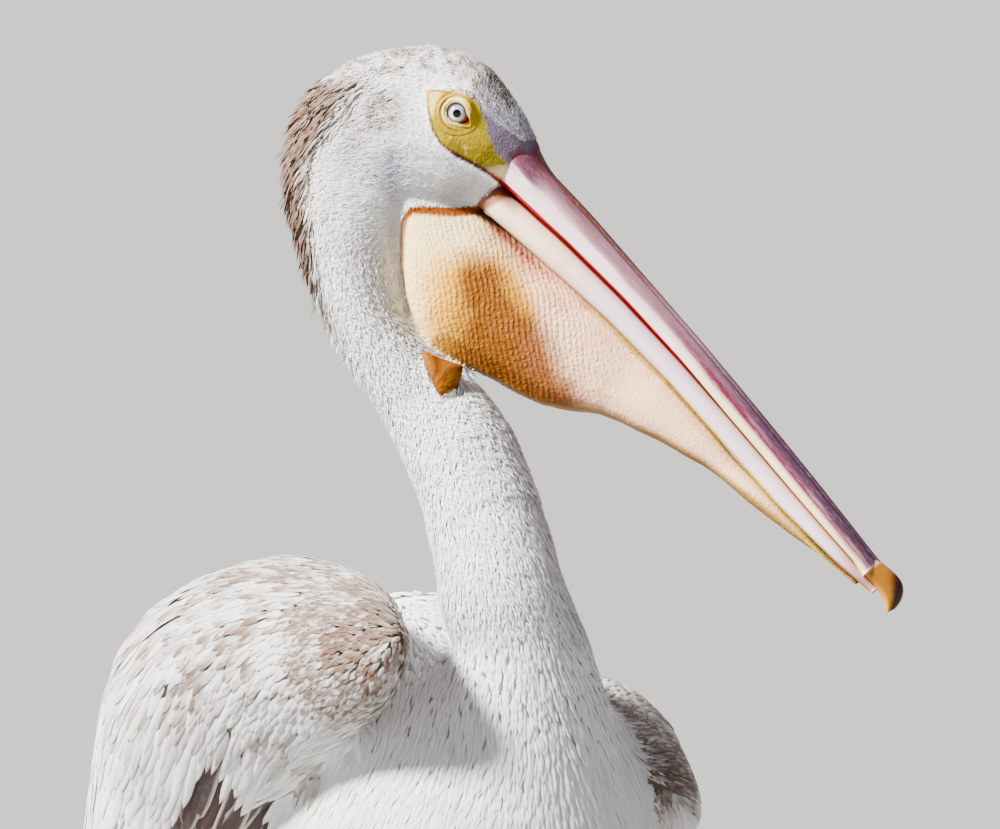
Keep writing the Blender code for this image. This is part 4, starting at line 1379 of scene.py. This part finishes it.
def eye_material():
    made, shader, w = new_material("wet_eye", 0.12, Coat_Weight=0.4, Coat_Roughness=0.03,
                                   Specular_IOR_Level=0.15)
    x, y, z = w.kept("eye_mm", out=1).parts()
    reach = w.sum("SQRT", x * x + z * z)
    angle = w.sum("ARCTAN2", z, x)
    spoke_place = w.node("CombineXYZ", None, {0: angle * 6.0, 1: reach * 0.35})
    spokes = w.noise(spoke_place, 1.6, 3.0)
    # Darker towards the top as painted shade of the brow, lighter towards the lower front as painted light.
    base = w.node("ValToRGB", {"stops": [(0.0, rgb(176, 186, 198)), (1.0, rgb(250, 251, 251))]},
                  {"Fac": (spokes - 0.45) * 1.6 + x * 0.06 - z * 0.10 + 0.3})
    rim = ((reach - (IRIS - 1.5)) * 0.8).clamped()
    colour = base.mixed(rgb(84, 76, 100), rim * 0.95)
    colour = colour.mixed((0.001, 0.001, 0.001), ((PUPIL + 0.1 - reach) * 8.0).clamped())
    colour = colour.mixed(rgb(74, 34, 26), ((reach - IRIS) * 4.0).clamped())
    colour = colour.mixed(rgb(190, 8, 18), ((reach - IRIS) * 4.0).clamped() * ((x - 2.6) * 2.0).clamped())
    feed(shader, Base_Color=colour)
    return made


EYE = eye_material()
print("iris and pupil, mm across", 2 * IRIS, 2 * PUPIL)


# %% Eyeballs
def eye_ball(name, side, node):
    turns, rows = 64, 40
    theta = np.linspace(0.0, math.pi, rows)[:, None]
    phi = np.linspace(0, 2 * math.pi, turns, endpoint=False)[None, :]
    off = BALL * np.sin(theta)
    bulge = CORNEA_RISE * np.exp(-(off / CORNEA_HALF) ** 4) * (theta < math.pi / 2)
    radius = BALL + bulge
    local = np.stack((radius * np.sin(theta) * np.cos(phi), radius * np.cos(theta) + 0 * phi,
                      radius * np.sin(theta) * np.sin(phi)), -1).reshape(-1, 3)
    cos, sin = math.cos(EYE_LEAN), math.sin(EYE_LEAN)
    turned = local @ np.array(((cos, sin, 0), (-sin, cos, 0), (0, 0, 1))).T
    turned[:, 1] *= side
    centre = to_head(middle(node)[None, :])[0]
    made = array_mesh(name, from_head(turned + centre), [ring_faces(rows, turns, side > 0)], EYE)
    paint(made, "eye_mm", local)
    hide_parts(node)
    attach(made, "root")
    print(name, "at", [round(float(v), 3) for v in middle(node)])


eye_ball("eyeball_right", -1, "eye_right")
eye_ball("eyeball_left", 1, "eye_left")

# %% [markdown]
# ## Claws
# Each toe ends in a short hooked claw of dark horn. It could be built again from sections, but
# the claws keep their solids, which have the right shape, and are only rounded.

# %% Claws
def claw_material():
    made, shader, w = new_material("claw", 0.38, Specular_IOR_Level=0.5)
    grain = w.noise(w.node("NewGeometry"), 700.0, 3.0)
    base = w.node("ValToRGB", {"stops": [(0.3, rgb(92, 66, 52)), (0.7, rgb(146, 112, 88))]}, {"Fac": grain})
    feed(shader, Base_Color=base, Normal=grain.relief(0.2, 0.0003))
    return made


CLAW = claw_material()
claws = [frame["nodes"][f"claw_{side}_{toe}"] for side in ("left", "right") for toe in TOES]
for claw in claws:
    claw.data.materials.clear()
    claw.data.materials.append(CLAW)
    rounder = claw.modifiers.new("rounder", "SUBSURF")
    rounder.levels = 2
    rounder.render_levels = 2
print("claws", len(claws))

# %% [markdown]
# ## Which way the plumage lies
# Feathers lie away from the bill: back over the crown, down the neck, down the breast and back
# along the belly to the tail. A line through the middle of the body gives that run, and on the
# face it is the direction away from the root of the bill. On a folded wing the feathers run
# from the wrist to the tip and spill a little down its side.

# %% The lie of the feathers
def run_of_thread(points):
    """Direction of the nearest stretches of the thread, blended."""
    edge = np.diff(THREAD, axis=0)
    distance = np.linalg.norm(from_edges(points, THREAD[:-1], edge)[0], axis=2)
    share = (distance / distance.min(1, keepdims=True)) ** -8
    return unit((share[:, :, None] * unit(edge)).sum(1))


def flattened(direction, normals):
    return unit(direction - normals * (direction * normals).sum(1, keepdims=True))


BILL_ROOT = (66.0, 0.0, 2.0)


def comb(points, owner, normals):
    """The way feathers lie at points of the skin."""
    lie = run_of_thread(points)
    h = to_head(points)
    away = unit(h - np.array(BILL_ROOT)) @ HEAD.T
    face = soft(h[:, 0], -48, 0) * is_part(owner, "head", "neck_upper") * soft(h[:, 2], -110, -70)
    lie = unit(lie * (1 - face[:, None]) + away * face[:, None])
    for side, mirror in (("right", 1), ("left", -1)):
        on_wing = wing_side(owner, side)
        run = run_on_wing(points, side)
        turned = soft(run, -0.03, 0.20)
        steep = 0.15 + 0.8 * turned - 0.35 * soft(run, 0.30, 0.50)
        wing_lie = unit(np.column_stack((-0.75 * mirror * (1 - turned), 0.75 + 0 * run, -steep)))
        front = soft(-normals[:, 1], 0.15, 0.75)[:, None]
        wing_lie = unit(wing_lie * (1 - front) + np.array((-0.45 * mirror, 0.15, -0.9)) * front)
        lie = np.where(on_wing[:, None], wing_lie, lie)
    over_back = soft(points[:, 1], -0.20, -0.08) * soft(normals[:, 2], -0.2, 0.3) * is_part(owner, "trunk")
    lie = unit(lie * (1 - over_back[:, None]) + np.array((0, 0.85, -0.5)) * over_back[:, None])
    thigh = is_part(owner, "thigh_left", "thigh_right")
    lie = np.where(thigh[:, None], unit(np.array((0, 0.45, -0.9))), lie)
    return flattened(lie, normals)


skin_tree_verts = np.concatenate([s.verts for s in (head_shell, body_shell)])
skin_tree_quads = np.concatenate((head_shell.quads, body_shell.quads + len(head_shell.verts)))
skin_owner = np.concatenate((head_shell.owner, body_shell.owner))
skin_normal = np.concatenate((head_shell.normals, body_shell.normals))
skin_tree = BVHTree.FromPolygons(skin_tree_verts.tolist(), skin_tree_quads.tolist())


def settle(points):
    """The nearest places on the skin, with their normals and owners."""
    found = [skin_tree.find_nearest(p) for p in points.tolist()]
    corner = skin_tree_quads[[f[2] for f in found]]
    return (np.array([tuple(f[0]) for f in found]), unit(skin_normal[corner].sum(1)),
            skin_owner[corner[:, 0]])


print("thread of", len(THREAD), "points")

# %% [markdown]
# ## Scattering the roots
# Follicles are spread almost evenly over the skin. Many random points are drawn on the faces and
# only the first in each small cell of space is kept, which is quick and leaves no rows.

# %% Roots
TRIES = 5
CELL = 1.12


def scatter(shell, spacing, wanted, seed):
    """Root places on a shell where wanted(points, owner, bare) says yes."""
    random = np.random.default_rng(seed)
    v, q = shell.verts, shell.quads
    area = 0.5 * np.linalg.norm(np.cross(v[q[:, 2]] - v[q[:, 0]], v[q[:, 3]] - v[q[:, 1]]), axis=1)
    count = int(area.sum() / spacing ** 2 * TRIES)
    face = random.choice(len(q), count, p=area / area.sum())
    s, t = random.random((2, count))[..., None]
    corner = q[face]
    weights = ((1 - s) * (1 - t), s * (1 - t), s * t, (1 - s) * t)
    points = sum(w * v[corner[:, k]] for k, w in enumerate(weights))
    normals = unit(sum(w * shell.normals[corner[:, k]] for k, w in enumerate(weights)))
    near = corner[:, 0]
    keep = wanted(points, shell.owner[near], shell.bare[near])
    points, normals, near = points[keep], normals[keep], near[keep]
    cell = np.floor(points / (spacing * CELL)).astype(np.int64)
    key = (cell[:, 0] * 1_000_003 + cell[:, 1]) * 1_000_003 + cell[:, 2]
    _, first = np.unique(key, return_index=True)
    first.sort()
    near = near[first]
    return {"at": points[first], "normal": normals[first], "owner": shell.owner[near],
            "coat": shell.coat[near], "bare": shell.bare[near], "random": random}


print("most roots in a square centimetre at 3 mm", round((10 / (3 * CELL)) ** 2, 1))

# %% [markdown]
# ## One feather, many times
# A feather's shaft walks over the skin along the lie, rising from its root to the height of the
# plumage, and a thin closed vane is built round it: an upper face with a raised shaft, an
# underside, and a tip. The same few lines make head velvet, breast feathers and wing coverts,
# because only size, outline and rise differ.

# %% Feather outlines
def lance(s):
    """Half width along a long pointed feather."""
    return np.minimum(1, (s / 0.22 + 0.12)) ** 0.8 * (1 - s ** 2.6) ** 0.75


def rounded(s):
    """Half width along a round-ended covert."""
    return np.minimum(1, (s / 0.25 + 0.15)) ** 0.7 * (1 - s ** 5) ** 0.5


def wisp(s):
    """Half width along a tuft of velvet."""
    return 0.75 + 0.25 * np.sin(math.pi * s) - 0.62 * s ** 2


print("half widths at mid length", [round(float(f(0.5)), 2) for f in (lance, rounded, wisp)])


# %% Walk the shafts
STIFFNESS = 0.45
LOOSEST = 5 * MM
print("a shaft may hang off the skin by, mm", LOOSEST / MM)


def walk(roots, lengths, stations, stray):
    """Shaft points over the skin for each root, and the skin's normal below them."""
    at, normal, owner = roots["at"], roots["normal"], roots["owner"]
    heading = comb(at, owner, normal)
    turn = roots["random"].normal(0, math.radians(stray), len(at))[:, None]
    heading = unit(heading * np.cos(turn) + np.cross(normal, heading) * np.sin(turn))
    spine, normals = [at], [normal]
    step = (lengths / (stations - 1))[:, None]
    for _ in range(stations - 1):
        target = at + heading * step
        foot, foot_normal, foot_owner = settle(target)
        loose = np.linalg.norm(foot - target, axis=1)[:, None]
        free = ((foot_normal * normal).sum(1) < STIFFNESS)[:, None] | (loose > STIFFNESS * step)
        held = foot + (target - foot) * np.minimum(1, LOOSEST / np.maximum(loose, 1e-9))
        at = np.where(free, held, foot)
        normal = np.where(free, normal, unit(normal + foot_normal))
        onward = unit(heading + 0.5 * comb(at, foot_owner, normal))
        heading = flattened(np.where(free, heading, onward), normal)
        spine.append(at)
        normals.append(normal)
    return np.stack(spine, 1), np.stack(normals, 1)


# %% The unwrap of the skin, and the faces of one vane
def unwrapped(points):
    """Places on an unwrap of the skin itself: round and along the part's own long axis."""
    centre = points.mean(0)
    axes = np.linalg.svd(points - centre, full_matrices=False)[2]
    local = (points - centre) @ axes.T
    round_it = np.arctan2(local[:, 2], local[:, 1]) / (2 * math.pi) + 0.5
    along = (local[:, 0] - local[:, 0].min()) / max(np.ptp(local[:, 0]), 1e-9)
    return np.column_stack((0.01 + 0.98 * round_it, 0.01 + 0.98 * along))


PATCH = 0.003
PIECE_LIMIT = 190_000
ROUND_ACROSS, ROUND_AT_TIP = 0.32, 0.3


def vane_faces(stations, columns):
    """Faces of one closed vane by corner number, with what is on its upper side: sides, tip, root."""
    size = columns + 1
    k = np.arange(size)
    n = (k + 1) % size
    sides = np.concatenate([np.column_stack((row + k, row + size + k, row + size + n, row + n))
                            for row in range(0, (stations - 2) * size, size)])
    last = (stations - 2) * size
    tip = np.column_stack((last + k, np.full(size, last + size), last + n))
    upper = k < columns - 1
    return (sides, np.tile(upper, stations - 2)), (tip, upper), (k[None, :], np.array([False]))


print("faces of a small vane", [len(f) for f, _ in vane_faces(4, 3)])

# %% Keep a coat piece
def keep_piece(name, verts, kinds, tint, vane, uv, facing, material):
    """One coat piece of whole feathers, with its colours, its patches of the OFBake map and its shine."""
    count, each = verts.shape[:2]
    start = (np.arange(count) * each)[:, None, None]
    faces = [(f[None] + start).reshape(-1, f.shape[1]) for f, _ in kinds]
    thing = array_mesh(name, verts.reshape(-1, 3), faces, material)
    paint(thing, "tint", tint.reshape(-1, 3))
    paint(thing, "vane", vane.reshape(-1, 3))
    layer = thing.data.uv_layers.new(name="OFBake")
    corners = np.concatenate([f.ravel() for f in faces])
    layer.data.foreach_set("uv", uv.reshape(-1, 2)[corners].astype(np.float32).ravel())
    upper = np.concatenate([np.tile(np.repeat(up, f.shape[1]), count) for f, up in kinds])
    shine = facing.reshape(-1, 3)[corners] * np.where(upper, 1, -1)[:, None]
    thing.data.normals_split_custom_set(shine.tolist())
    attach(thing, "root")


# %% Build the vanes
def vanes(name, spine, normals, widths, outline, colour, slot, random, columns=3, camber=0.22,
          roll=9.0, thickness=0.00035, frayed=0.0, material=None, silk=0.6):
    """Closed thin feathers round the given shafts, as one or more joined objects."""
    count, stations = spine.shape[:2]
    ahead = unit(np.gradient(spine, axis=1))
    side = unit(np.cross(normals, ahead))
    up = np.cross(ahead, side)
    tilt = random.normal(0, math.radians(roll), count)[:, None, None]
    side, up = side * np.cos(tilt) + up * np.sin(tilt), up * np.cos(tilt) - side * np.sin(tilt)
    s = np.linspace(0, 1, stations)[:-1]
    half = 0.5 * widths[:, None] * outline(s)[None, :]
    across = np.linspace(-1, 1, columns)
    ring = []
    for u in across:
        edge = abs(u) ** 2
        fray = 1 - frayed * edge * random.random((count, stations - 1))
        ring.append(spine[:, :-1] + side[:, :-1] * (u * half * fray)[..., None]
                    - up[:, :-1] * (camber * edge * half)[..., None])
    depth = np.minimum(thickness, half * 0.6)
    ring.append(spine[:, :-1] - up[:, :-1] * (depth + camber * 0.35 * half)[..., None])
    verts = np.concatenate((np.stack(ring, 2).reshape(count, -1, 3), spine[:, -1:]), axis=1)
    size, each = columns + 1, verts.shape[1]
    ring_u = np.append(across, 0.0)
    u = np.append(np.tile(ring_u, stations - 1), 0.0)
    along = np.append(np.repeat(s, size), 1.0)
    rounding = np.stack([side[:, :-1] * (ROUND_ACROSS * x) for x in ring_u], 2).reshape(count, -1, 3)
    rounding = np.concatenate((rounding, ahead[:, -1:] * ROUND_AT_TIP), axis=1)
    facing = unit(silk * normals + (1 - silk) * up)
    facing = np.concatenate((np.repeat(facing[:, :-1], size, axis=1), facing[:, -1:]), axis=1)
    facing = unit(facing + rounding)
    tint = colour(np.tile(u, (count, 1)), np.tile(along, (count, 1)))
    length = np.linalg.norm(np.diff(spine, axis=1), axis=2).sum(1)
    vane = np.stack((u[None, :] * widths[:, None] * 0.5 / MM, along[None, :] * length[:, None] / MM,
                     np.tile(random.random((count, 1)), (1, each))), -1)
    flat = unwrapped(spine[:, 0])
    uv = np.stack((flat[:, :1] + u[None, :] * PATCH / 2, flat[:, 1:] + (along[None, :] - 0.5) * PATCH), -1)
    kinds = vane_faces(stations, columns)
    triangles = 2 * len(kinds[0][0]) + len(kinds[1][0]) + size - 2
    parts = max(1, math.ceil(count * triangles / PIECE_LIMIT))
    for part, rows in enumerate(np.array_split(np.arange(count), parts)):
        label = name if parts == 1 else f"{name}_{part + 1}"
        keep_piece(label, verts[rows], kinds, tint[rows], vane[rows], uv[rows], facing[rows],
                   material or PLUMAGE)
    print(f"{name}: {count} feathers, {count * triangles} triangles in {parts}")


# %% [markdown]
# ## Feather material
# Barbs run from the shaft to the edge at a slant, and light catches them as a fine silky grain.
# The grain comes from each feather's own across and along measures, so it turns with the
# feather; a picture laid over the bird would slide across them. White feathers let light in, so
# they scatter it below the surface and have a little sheen. On the brown crest and the dark
# flight feathers both would look like dust, so those two have neither.

# %% Feather material
def feather_material(name, roughness, sheen, shine, glow=0.0):
    made, shader, w = new_material(name, roughness, Sheen_Weight=sheen, Sheen_Roughness=0.6,
                                   Specular_IOR_Level=shine, Subsurface_Weight=glow,
                                   Subsurface_Scale=0.004, Subsurface_Radius=(1.0, 0.95, 0.9))
    tint = w.kept("tint")
    across, along, chance = w.kept("vane", out=1).parts()
    slant = along - across.size() * 1.3
    barbs = w.sum("SINE", slant * 5.2)
    mottle = w.noise(w.node("NewGeometry"), 260.0, 2.0)
    shaft = (1 - across.size() * 2.6).clamped()
    shade = (chance - 0.5) * 0.06 + (mottle - 0.5) * 0.10 + barbs * 0.02 - shaft * 0.03
    colour = tint.mixed((0.22, 0.19, 0.18), (0 - shade).clamped()).mixed((1, 1, 1), shade.clamped())
    feed(shader, Base_Color=colour, Normal=(barbs * 0.5 + shaft).relief(0.30, 0.0004))
    return made


PLUMAGE = feather_material("plumage", 0.8, 0.10, 0.12, glow=0.4)
CREST = feather_material("crest_feather", 0.8, 0.0, 0.1)
FLIGHT = feather_material("flight_feather", 0.55, 0.0, 0.25)
print("feather material nodes", len(PLUMAGE.node_tree.nodes))


# %% Colour down each feather
STREAK = 0.3
PALE_HEM = (0.75, 0.68, 0.62)


def feather_colour(roots, tip, root):
    """A colour function of across and along: the white with its painted shade, then a browner middle, tip or
    root.
    """
    points, owner, random = roots["at"], roots["owner"], roots["random"]
    brown, dark = brownness(points, owner)
    brown = np.clip(brown * random.uniform(0.7, 1.4, len(points)), 0, 1)
    white_and_shade = plumage_white_and_painted_shade(points, owner)[:, None]
    far = (flight_share(points, owner) > 0.5)[:, None, None]
    on_a_wing = wing_side(owner, "left") | wing_side(owner, "right")
    brown = np.clip(brown * np.where(on_a_wing, random.uniform(0.5, 1.7, len(points)), 1), 0, 1)

    def colour(u, along):
        middle_streak = np.clip(1 - STREAK * np.abs(u), 0, 1) * (0.75 + 0.25 * along)
        share = np.clip(brown[:, None] * (middle_streak + tip * along ** 2), 0, 1)
        deep = np.clip(dark[:, None] + root * np.clip(1.3 - 2.2 * along, 0, 1), 0, 1)
        tint = over(white_and_shade, (TAUPE, share), (BROWN, share * deep))
        hem = soft(np.abs(u), 0.8, 1.0) * soft(along, 0.1, 0.4)
        return tint * (1 - far) + over(BLACKISH, (PALE_HEM, 0.8 * hem)) * far
    return colour


# %% [markdown]
# ## Growing a tract
# Feathers don't cover a bird evenly; they grow in tracts, each with its own length, spacing and
# stand. One function grows any of them: it scatters roots, walks the shafts, lifts them to the
# height of the plumage and builds the vanes, so a tract below is one call with its own measures.

# %% Grow a tract
THIN_OUT = 1.0
SHARPEST_TURN = 0.6
SHARPEST_LEAN = 0.55
print("spacing is widened by", THIN_OUT)


def unbent(spine, normals):
    """Which shafts lie smoothly. One that turns hard, as in a groove of the skin, tends to stand up."""
    steps = unit(np.diff(spine, axis=1))
    turns = (steps[:, 1:] * steps[:, :-1]).sum(2).min(1)
    lean = (normals[:, 1:] * normals[:, :-1]).sum(2).min(1)
    return (turns > SHARPEST_TURN) & (lean > SHARPEST_LEAN)


def grow(name, shell, wanted, spacing, length, width, outline, seed, stations=5, columns=3,
         rise=(0.1, 1.0), stray=8, tip=0.0, root=0.0, slot="plumage", lift=None, **shape):
    """Scatter, walk and build one tract. length and width are millimetres or functions of the roots."""
    roots = scatter(shell, spacing * THIN_OUT * MM, wanted, seed)
    random = roots["random"]
    chance = random.uniform(0.8, 1.2, len(roots["at"]))
    lengths = (length(roots) if callable(length) else length) * chance * MM
    widths = (width(roots) if callable(width) else width) * random.uniform(0.8, 1.2, len(chance)) * MM
    spine, normals = walk(roots, lengths, stations, stray)
    s = np.linspace(0, 1, stations)[None, :]
    top = lift(roots) if lift else roots["coat"] * random.uniform(0.9, 1.05, len(chance))
    height = (rise[0] + (rise[1] - rise[0]) * s ** 0.85) * top[:, None]
    spine = spine + normals * height[..., None] * MM
    fair = unbent(spine, normals)
    roots = {key: value[fair] if isinstance(value, np.ndarray) else value for key, value in roots.items()}
    colour = feather_colour(roots, tip, root)
    vanes(name, spine[fair], normals[fair], widths[fair], outline, colour, slot, random, columns, **shape)


# %% [markdown]
# ## Head and neck
# The face and neck are velvet: very short, dense tufts. They are shortest round the eye and bill
# and grow down the neck. Along the nape they lengthen into a ragged crest that stands off the
# neck, brown to the tips.

# %% Velvet
def feathered_head(points, owner, bare):
    joint = is_part(owner, "neck_middle") & (share_of_joint(points) < 0.35)
    return is_part(owner, "head", "neck_upper", "neck_middle", "pouch") & (bare < -0.4) & ~joint


def face_length(roots):
    """Velvet length in millimetres: shortest at the edge of bare skin, longer down the neck."""
    h = to_head(roots["at"])
    near_face = soft(h[:, 0], -40, 40) * soft(h[:, 2], -60, -20)
    full = 4.5 - 1.6 * near_face + 3.5 * soft(-above_eye(roots["at"]), 90, 200)
    return full * (0.5 + 0.5 * soft(-roots["bare"], 0.5, 8))


def velvet_lift(roots):
    """How far each tuft's tip stands off the skin, in millimetres. A few stand proud as grains."""
    return np.maximum(roots["coat"], 1.1) * roots["random"].uniform(0.75, 1.45, len(roots["at"]))


def face_width(roots):
    return 0.9 + 0.9 * soft(-above_eye(roots["at"]), 90, 200)


grow("velvet", head_shell, feathered_head, 1.22, face_length, face_width, wisp, seed=11, stations=3,
     columns=2, rise=(0.35, 1.0), stray=32, tip=0.3, roll=20, camber=0.1, thickness=0.0004, silk=0.35,
     lift=velvet_lift)


# %% Nape crest
def on_nape(points, owner, bare):
    return nape_share(points, owner) > 0.3


def crest_length(roots):
    rise = above_eye(roots["at"])
    return 8 + 7 * soft(rise, -150, -60) * soft(30 - rise, 0, 20)


def crest_lift(roots):
    ragged = 0.55 + 0.45 * cloud(roots["at"] / MM, 5, 50)
    ragged = ragged + roots["random"].uniform(0.0, 0.5, len(ragged))
    return (3.2 + 5.8 * nape_share(roots["at"], roots["owner"])) * ragged


grow("nape_crest", head_shell, on_nape, 2.3, crest_length, 1.9, lance, seed=12, stray=20, tip=0.2,
     root=0.9, roll=35, camber=0.2, lift=crest_lift, frayed=0.3, material=CREST)

# %% [markdown]
# ## Breast, back, thighs and tail coverts
# Body feathers are soft lances, longer towards the tail, each hiding the roots of the next.

# %% Body feathers
def on_low_neck(points, owner, bare):
    joint = is_part(owner, "neck_middle") & (share_of_joint(points) < 0.55)
    return joint | is_part(owner, "neck_lower")


def on_breast(points, owner, bare):
    return is_part(owner, "trunk") & (points[:, 1] < -0.17 + 0.01 * cloud(points, 0.03, 7))


def on_back_and_belly(points, owner, bare):
    return is_part(owner, "trunk") & (points[:, 1] > -0.19 + 0.01 * cloud(points, 0.03, 7))


def breast_length(roots):
    """Short below the neck, longer down the breast."""
    return 9 + 11 * soft(0.60 - roots["at"][:, 2], 0, 0.12)


def trunk_length(roots):
    return 20 + 14 * soft(roots["at"][:, 1], -0.15, 0.10)


def on_thigh(points, owner, bare):
    return is_part(owner, "thigh_left", "thigh_right")


def on_tail_root(points, owner, bare):
    return is_part(owner, "tail") & (points[:, 1] < 0.265)


grow("neck_feathers", body_shell, on_low_neck, 1.75, 8.5, 2.0, wisp, seed=13, stations=3, columns=2,
     rise=(0.35, 1.0), stray=20, roll=12, camber=0.1, frayed=0.2, silk=0.45)
grow("breast_feathers", body_shell, on_breast, 3.0, breast_length, lambda r: 1.6 + 0.15 * breast_length(r),
     lance, seed=14, stations=4, rise=(0.58, 0.85), stray=9, roll=3.5, camber=0.10, frayed=0.1)
grow("body_feathers", body_shell, on_back_and_belly, 5.0, trunk_length,
     lambda r: 2.5 + 0.13 * trunk_length(r), lance, seed=15, rise=(0.50, 0.92), roll=7, camber=0.18,
     frayed=0.25)
grow("thigh_feathers", body_shell, on_thigh, 4.4, 17, 4.4, lance, seed=16, stations=4, stray=9,
     rise=(0.45, 1.0), roll=8, camber=0.16, frayed=0.25)
grow("tail_coverts", body_shell, on_tail_root, 8.0, 42, 11, lance, seed=17, stations=6, stray=6,
     camber=0.2)

# %% [markdown]
# ## The folded wings
# Tiny scale-like coverts cover the wrist, larger ones the forearm, and long silky lances hang
# over the flight feathers. Only the edges of the dark flight feathers show, along the lower edge
# of the wing and at its tip.


# %% Wing coverts
BROAD_WING = [node for node in WING_FLESH if "primaries" not in node]


def both_runs(points, owner):
    return np.where(wing_side(owner, "right"), run_on_wing(points, "right"), run_on_wing(points, "left"))


def on_wing(low, high):
    """Where a row of coverts grows, between two places along the wing."""
    def wanted(points, owner, bare):
        run = both_runs(points, owner)
        edge = cloud(points, 0.03, 5) * 0.012
        inside = (run + edge > low) & (run + edge < high)
        return is_part(owner, *BROAD_WING) & inside & (flight_share(points, owner) < 0.5)
    return wanted


def covert_length(roots):
    """Tiny at the wrist, then steadily longer back along the wing."""
    run = both_runs(roots["at"], roots["owner"])
    return np.interp(run, (0.0, 0.04, 0.09, 0.16, 0.24, 0.34), (6.0, 9.0, 17, 34, 58, 84))


def covert_width(roots):
    return 2.0 + 0.16 * covert_length(roots)


COVERTS = (
    ("wrist_coverts", (-1, 0.055), 2.5, rounded, dict(
        seed=20, stations=4, rise=(0.45, 1.0), stray=9, tip=0.5, roll=8, camber=0.15, frayed=0.15)),
    ("small_coverts", (0.045, 0.115), 4.2, rounded, dict(
        seed=21, rise=(0.64, 0.95), stray=6, tip=0.6, roll=3, camber=0.06, frayed=0.1)),
    ("middle_coverts", (0.10, 0.22), 6.8, lance, dict(
        seed=22, stations=7, columns=5, rise=(0.66, 0.92), stray=4, tip=0.3, roll=2.5, camber=0.05,
        frayed=0.08)),
    ("long_coverts", (0.20, 2), 10.5, lance, dict(
        seed=23, stations=9, columns=5, rise=(0.66, 0.92), stray=3, tip=0.2, roll=2, camber=0.05,
        frayed=0.06)))
for name, run, spacing, outline, shape in COVERTS:
    grow(name, body_shell, on_wing(*run), spacing, covert_length, covert_width, outline, **shape)


# %% Flight feathers along the lower edge
def on_strip(points, owner, bare):
    return is_part(owner, *BROAD_WING) & (flight_share(points, owner) > 0.5)


grow("flight_strip", body_shell, on_strip, 12.0, 70, 14, rounded, seed=24, stations=8, columns=7,
     rise=(0.1, 0.9), stray=3, roll=5, camber=0.12, slot="flight_feather", material=FLIGHT)

# %% [markdown]
# ## Wing tips and tail
# The longest flight feathers are stiff blades that lie stacked like a closed fan. Each is placed
# by its root and tip, measured from the solid that stands for the stack, and the tail's broad
# white feathers are laid out the same way.

# %% Blades
BLADE_BOW = 3


def own_axes(node, back):
    """Centre, long, broad and thin axes of a flat solid, and its half sizes along them."""
    verts = node_arrays(node)[0]
    low, high = verts.min(0), verts.max(0)
    centre = (low + high) / 2
    axes = np.linalg.svd(verts - verts.mean(0), full_matrices=False)[2]
    axes = axes * np.sign(axes @ back)[:, None]
    spans = [np.ptp((verts - centre) @ a) / 2 for a in axes]
    return centre, axes, spans


def blade_stack(name, centre, axes, spans, places, width, outline, colour, slot, seed):
    """Blades from root to tip, each given as root (long, broad), tip (long, broad) and height."""
    random = np.random.default_rng(seed)
    rows = np.array(places, float)
    s = np.linspace(0, 1, 10)[None, :, None]
    outward = axes[2] * np.sign(rows[:, 4])[:, None, None]
    root = rows[:, 0:1] * spans[0] * axes[0] + rows[:, 1:2] * spans[1] * axes[1]
    tip = rows[:, 2:3] * spans[0] * axes[0] + rows[:, 3:4] * spans[1] * axes[1]
    lift = rows[:, 4:5] * MM * axes[2]
    bend = (np.sin(math.pi * s) * BLADE_BOW * MM) * outward
    spine = centre + root[:, None] * (1 - s) + tip[:, None] * s + lift[:, None] + bend
    normals = np.broadcast_to(outward, spine.shape)
    widths = width * MM * random.uniform(0.92, 1.08, len(rows))
    material = FLIGHT if slot == "flight_feather" else PLUMAGE
    vanes(name, spine, normals, widths, outline, colour, slot, random, columns=7, camber=0.10,
          roll=2.0, thickness=0.0006, frayed=0.04, material=material)


def dark_vane(u, along):
    """Brown-black with a pale hem."""
    return over(BLACKISH, ((0.42, 0.36, 0.32), 0.6 * soft(np.abs(u), 0.75, 1.0) * soft(along, 0.1, 0.5)))


def white_vane(u, along):
    return over(WHITE, ((0.72, 0.66, 0.62), 0.15 * soft(along, 0.8, 1.0)))


FACES = (1, -1)
for side, outward in (("right", -1), ("left", 1)):
    centre, axes, spans = own_axes(f"wing_{side}_primaries", np.array((outward * 0.5, 0.8, -0.58)))
    stack = [(-0.95, 0.55 - 1.0 * t, 0.98 - 0.42 * t, 0.10 - 0.75 * t, face * (7.0 - 4.5 * t))
             for t in np.arange(9) / 8 for face in FACES]
    blade_stack(f"primaries_{side}", centre, axes, spans, stack, 24, rounded, dark_vane, "flight_feather", 31)

centre, axes, spans = own_axes("tail", np.array((0.05, 0.8, 0.5)))
fan = [(-0.75, 0.35 * s, 0.99 - 0.16 * s * s, 0.80 * s, face * (8.0 - 4.5 * abs(s)))
       for s in np.linspace(-1, 1, 13) for face in FACES]
blade_stack("tail_feathers", centre, axes, spans, fan, 30, rounded, white_vane, "plumage", 33)
print("tail axes", np.round(axes, 2).tolist(), "half sizes", np.round(spans, 3).tolist())

# %% [markdown]
# ## The floor
# A museum model stands on plain ground. A box or a small plinth would show an edge behind the
# bird from some sides, so the floor is one flat sheet that runs far past every view.

# %% Floor
FLOOR_REACH = 60.0
FLOOR_CORNERS = ((-1, -1, 0), (1, -1, 0), (1, 1, 0), (-1, 1, 0))


def floor_material():
    made, shader, w = new_material("pale_floor", 0.8)
    grain = w.noise(w.node("NewGeometry"), 30.0, 4.0)
    base = w.node("RGB")
    base.socket.default_value = (0.21, 0.208, 0.204, 1)
    feed(shader, Base_Color=base.mixed((0.195, 0.193, 0.19), grain))
    return made


floor = array_mesh("floor", np.array(FLOOR_CORNERS) * FLOOR_REACH, [np.array([(0, 1, 2, 3)])],
                   floor_material())
print("floor, metres across", 2 * FLOOR_REACH)
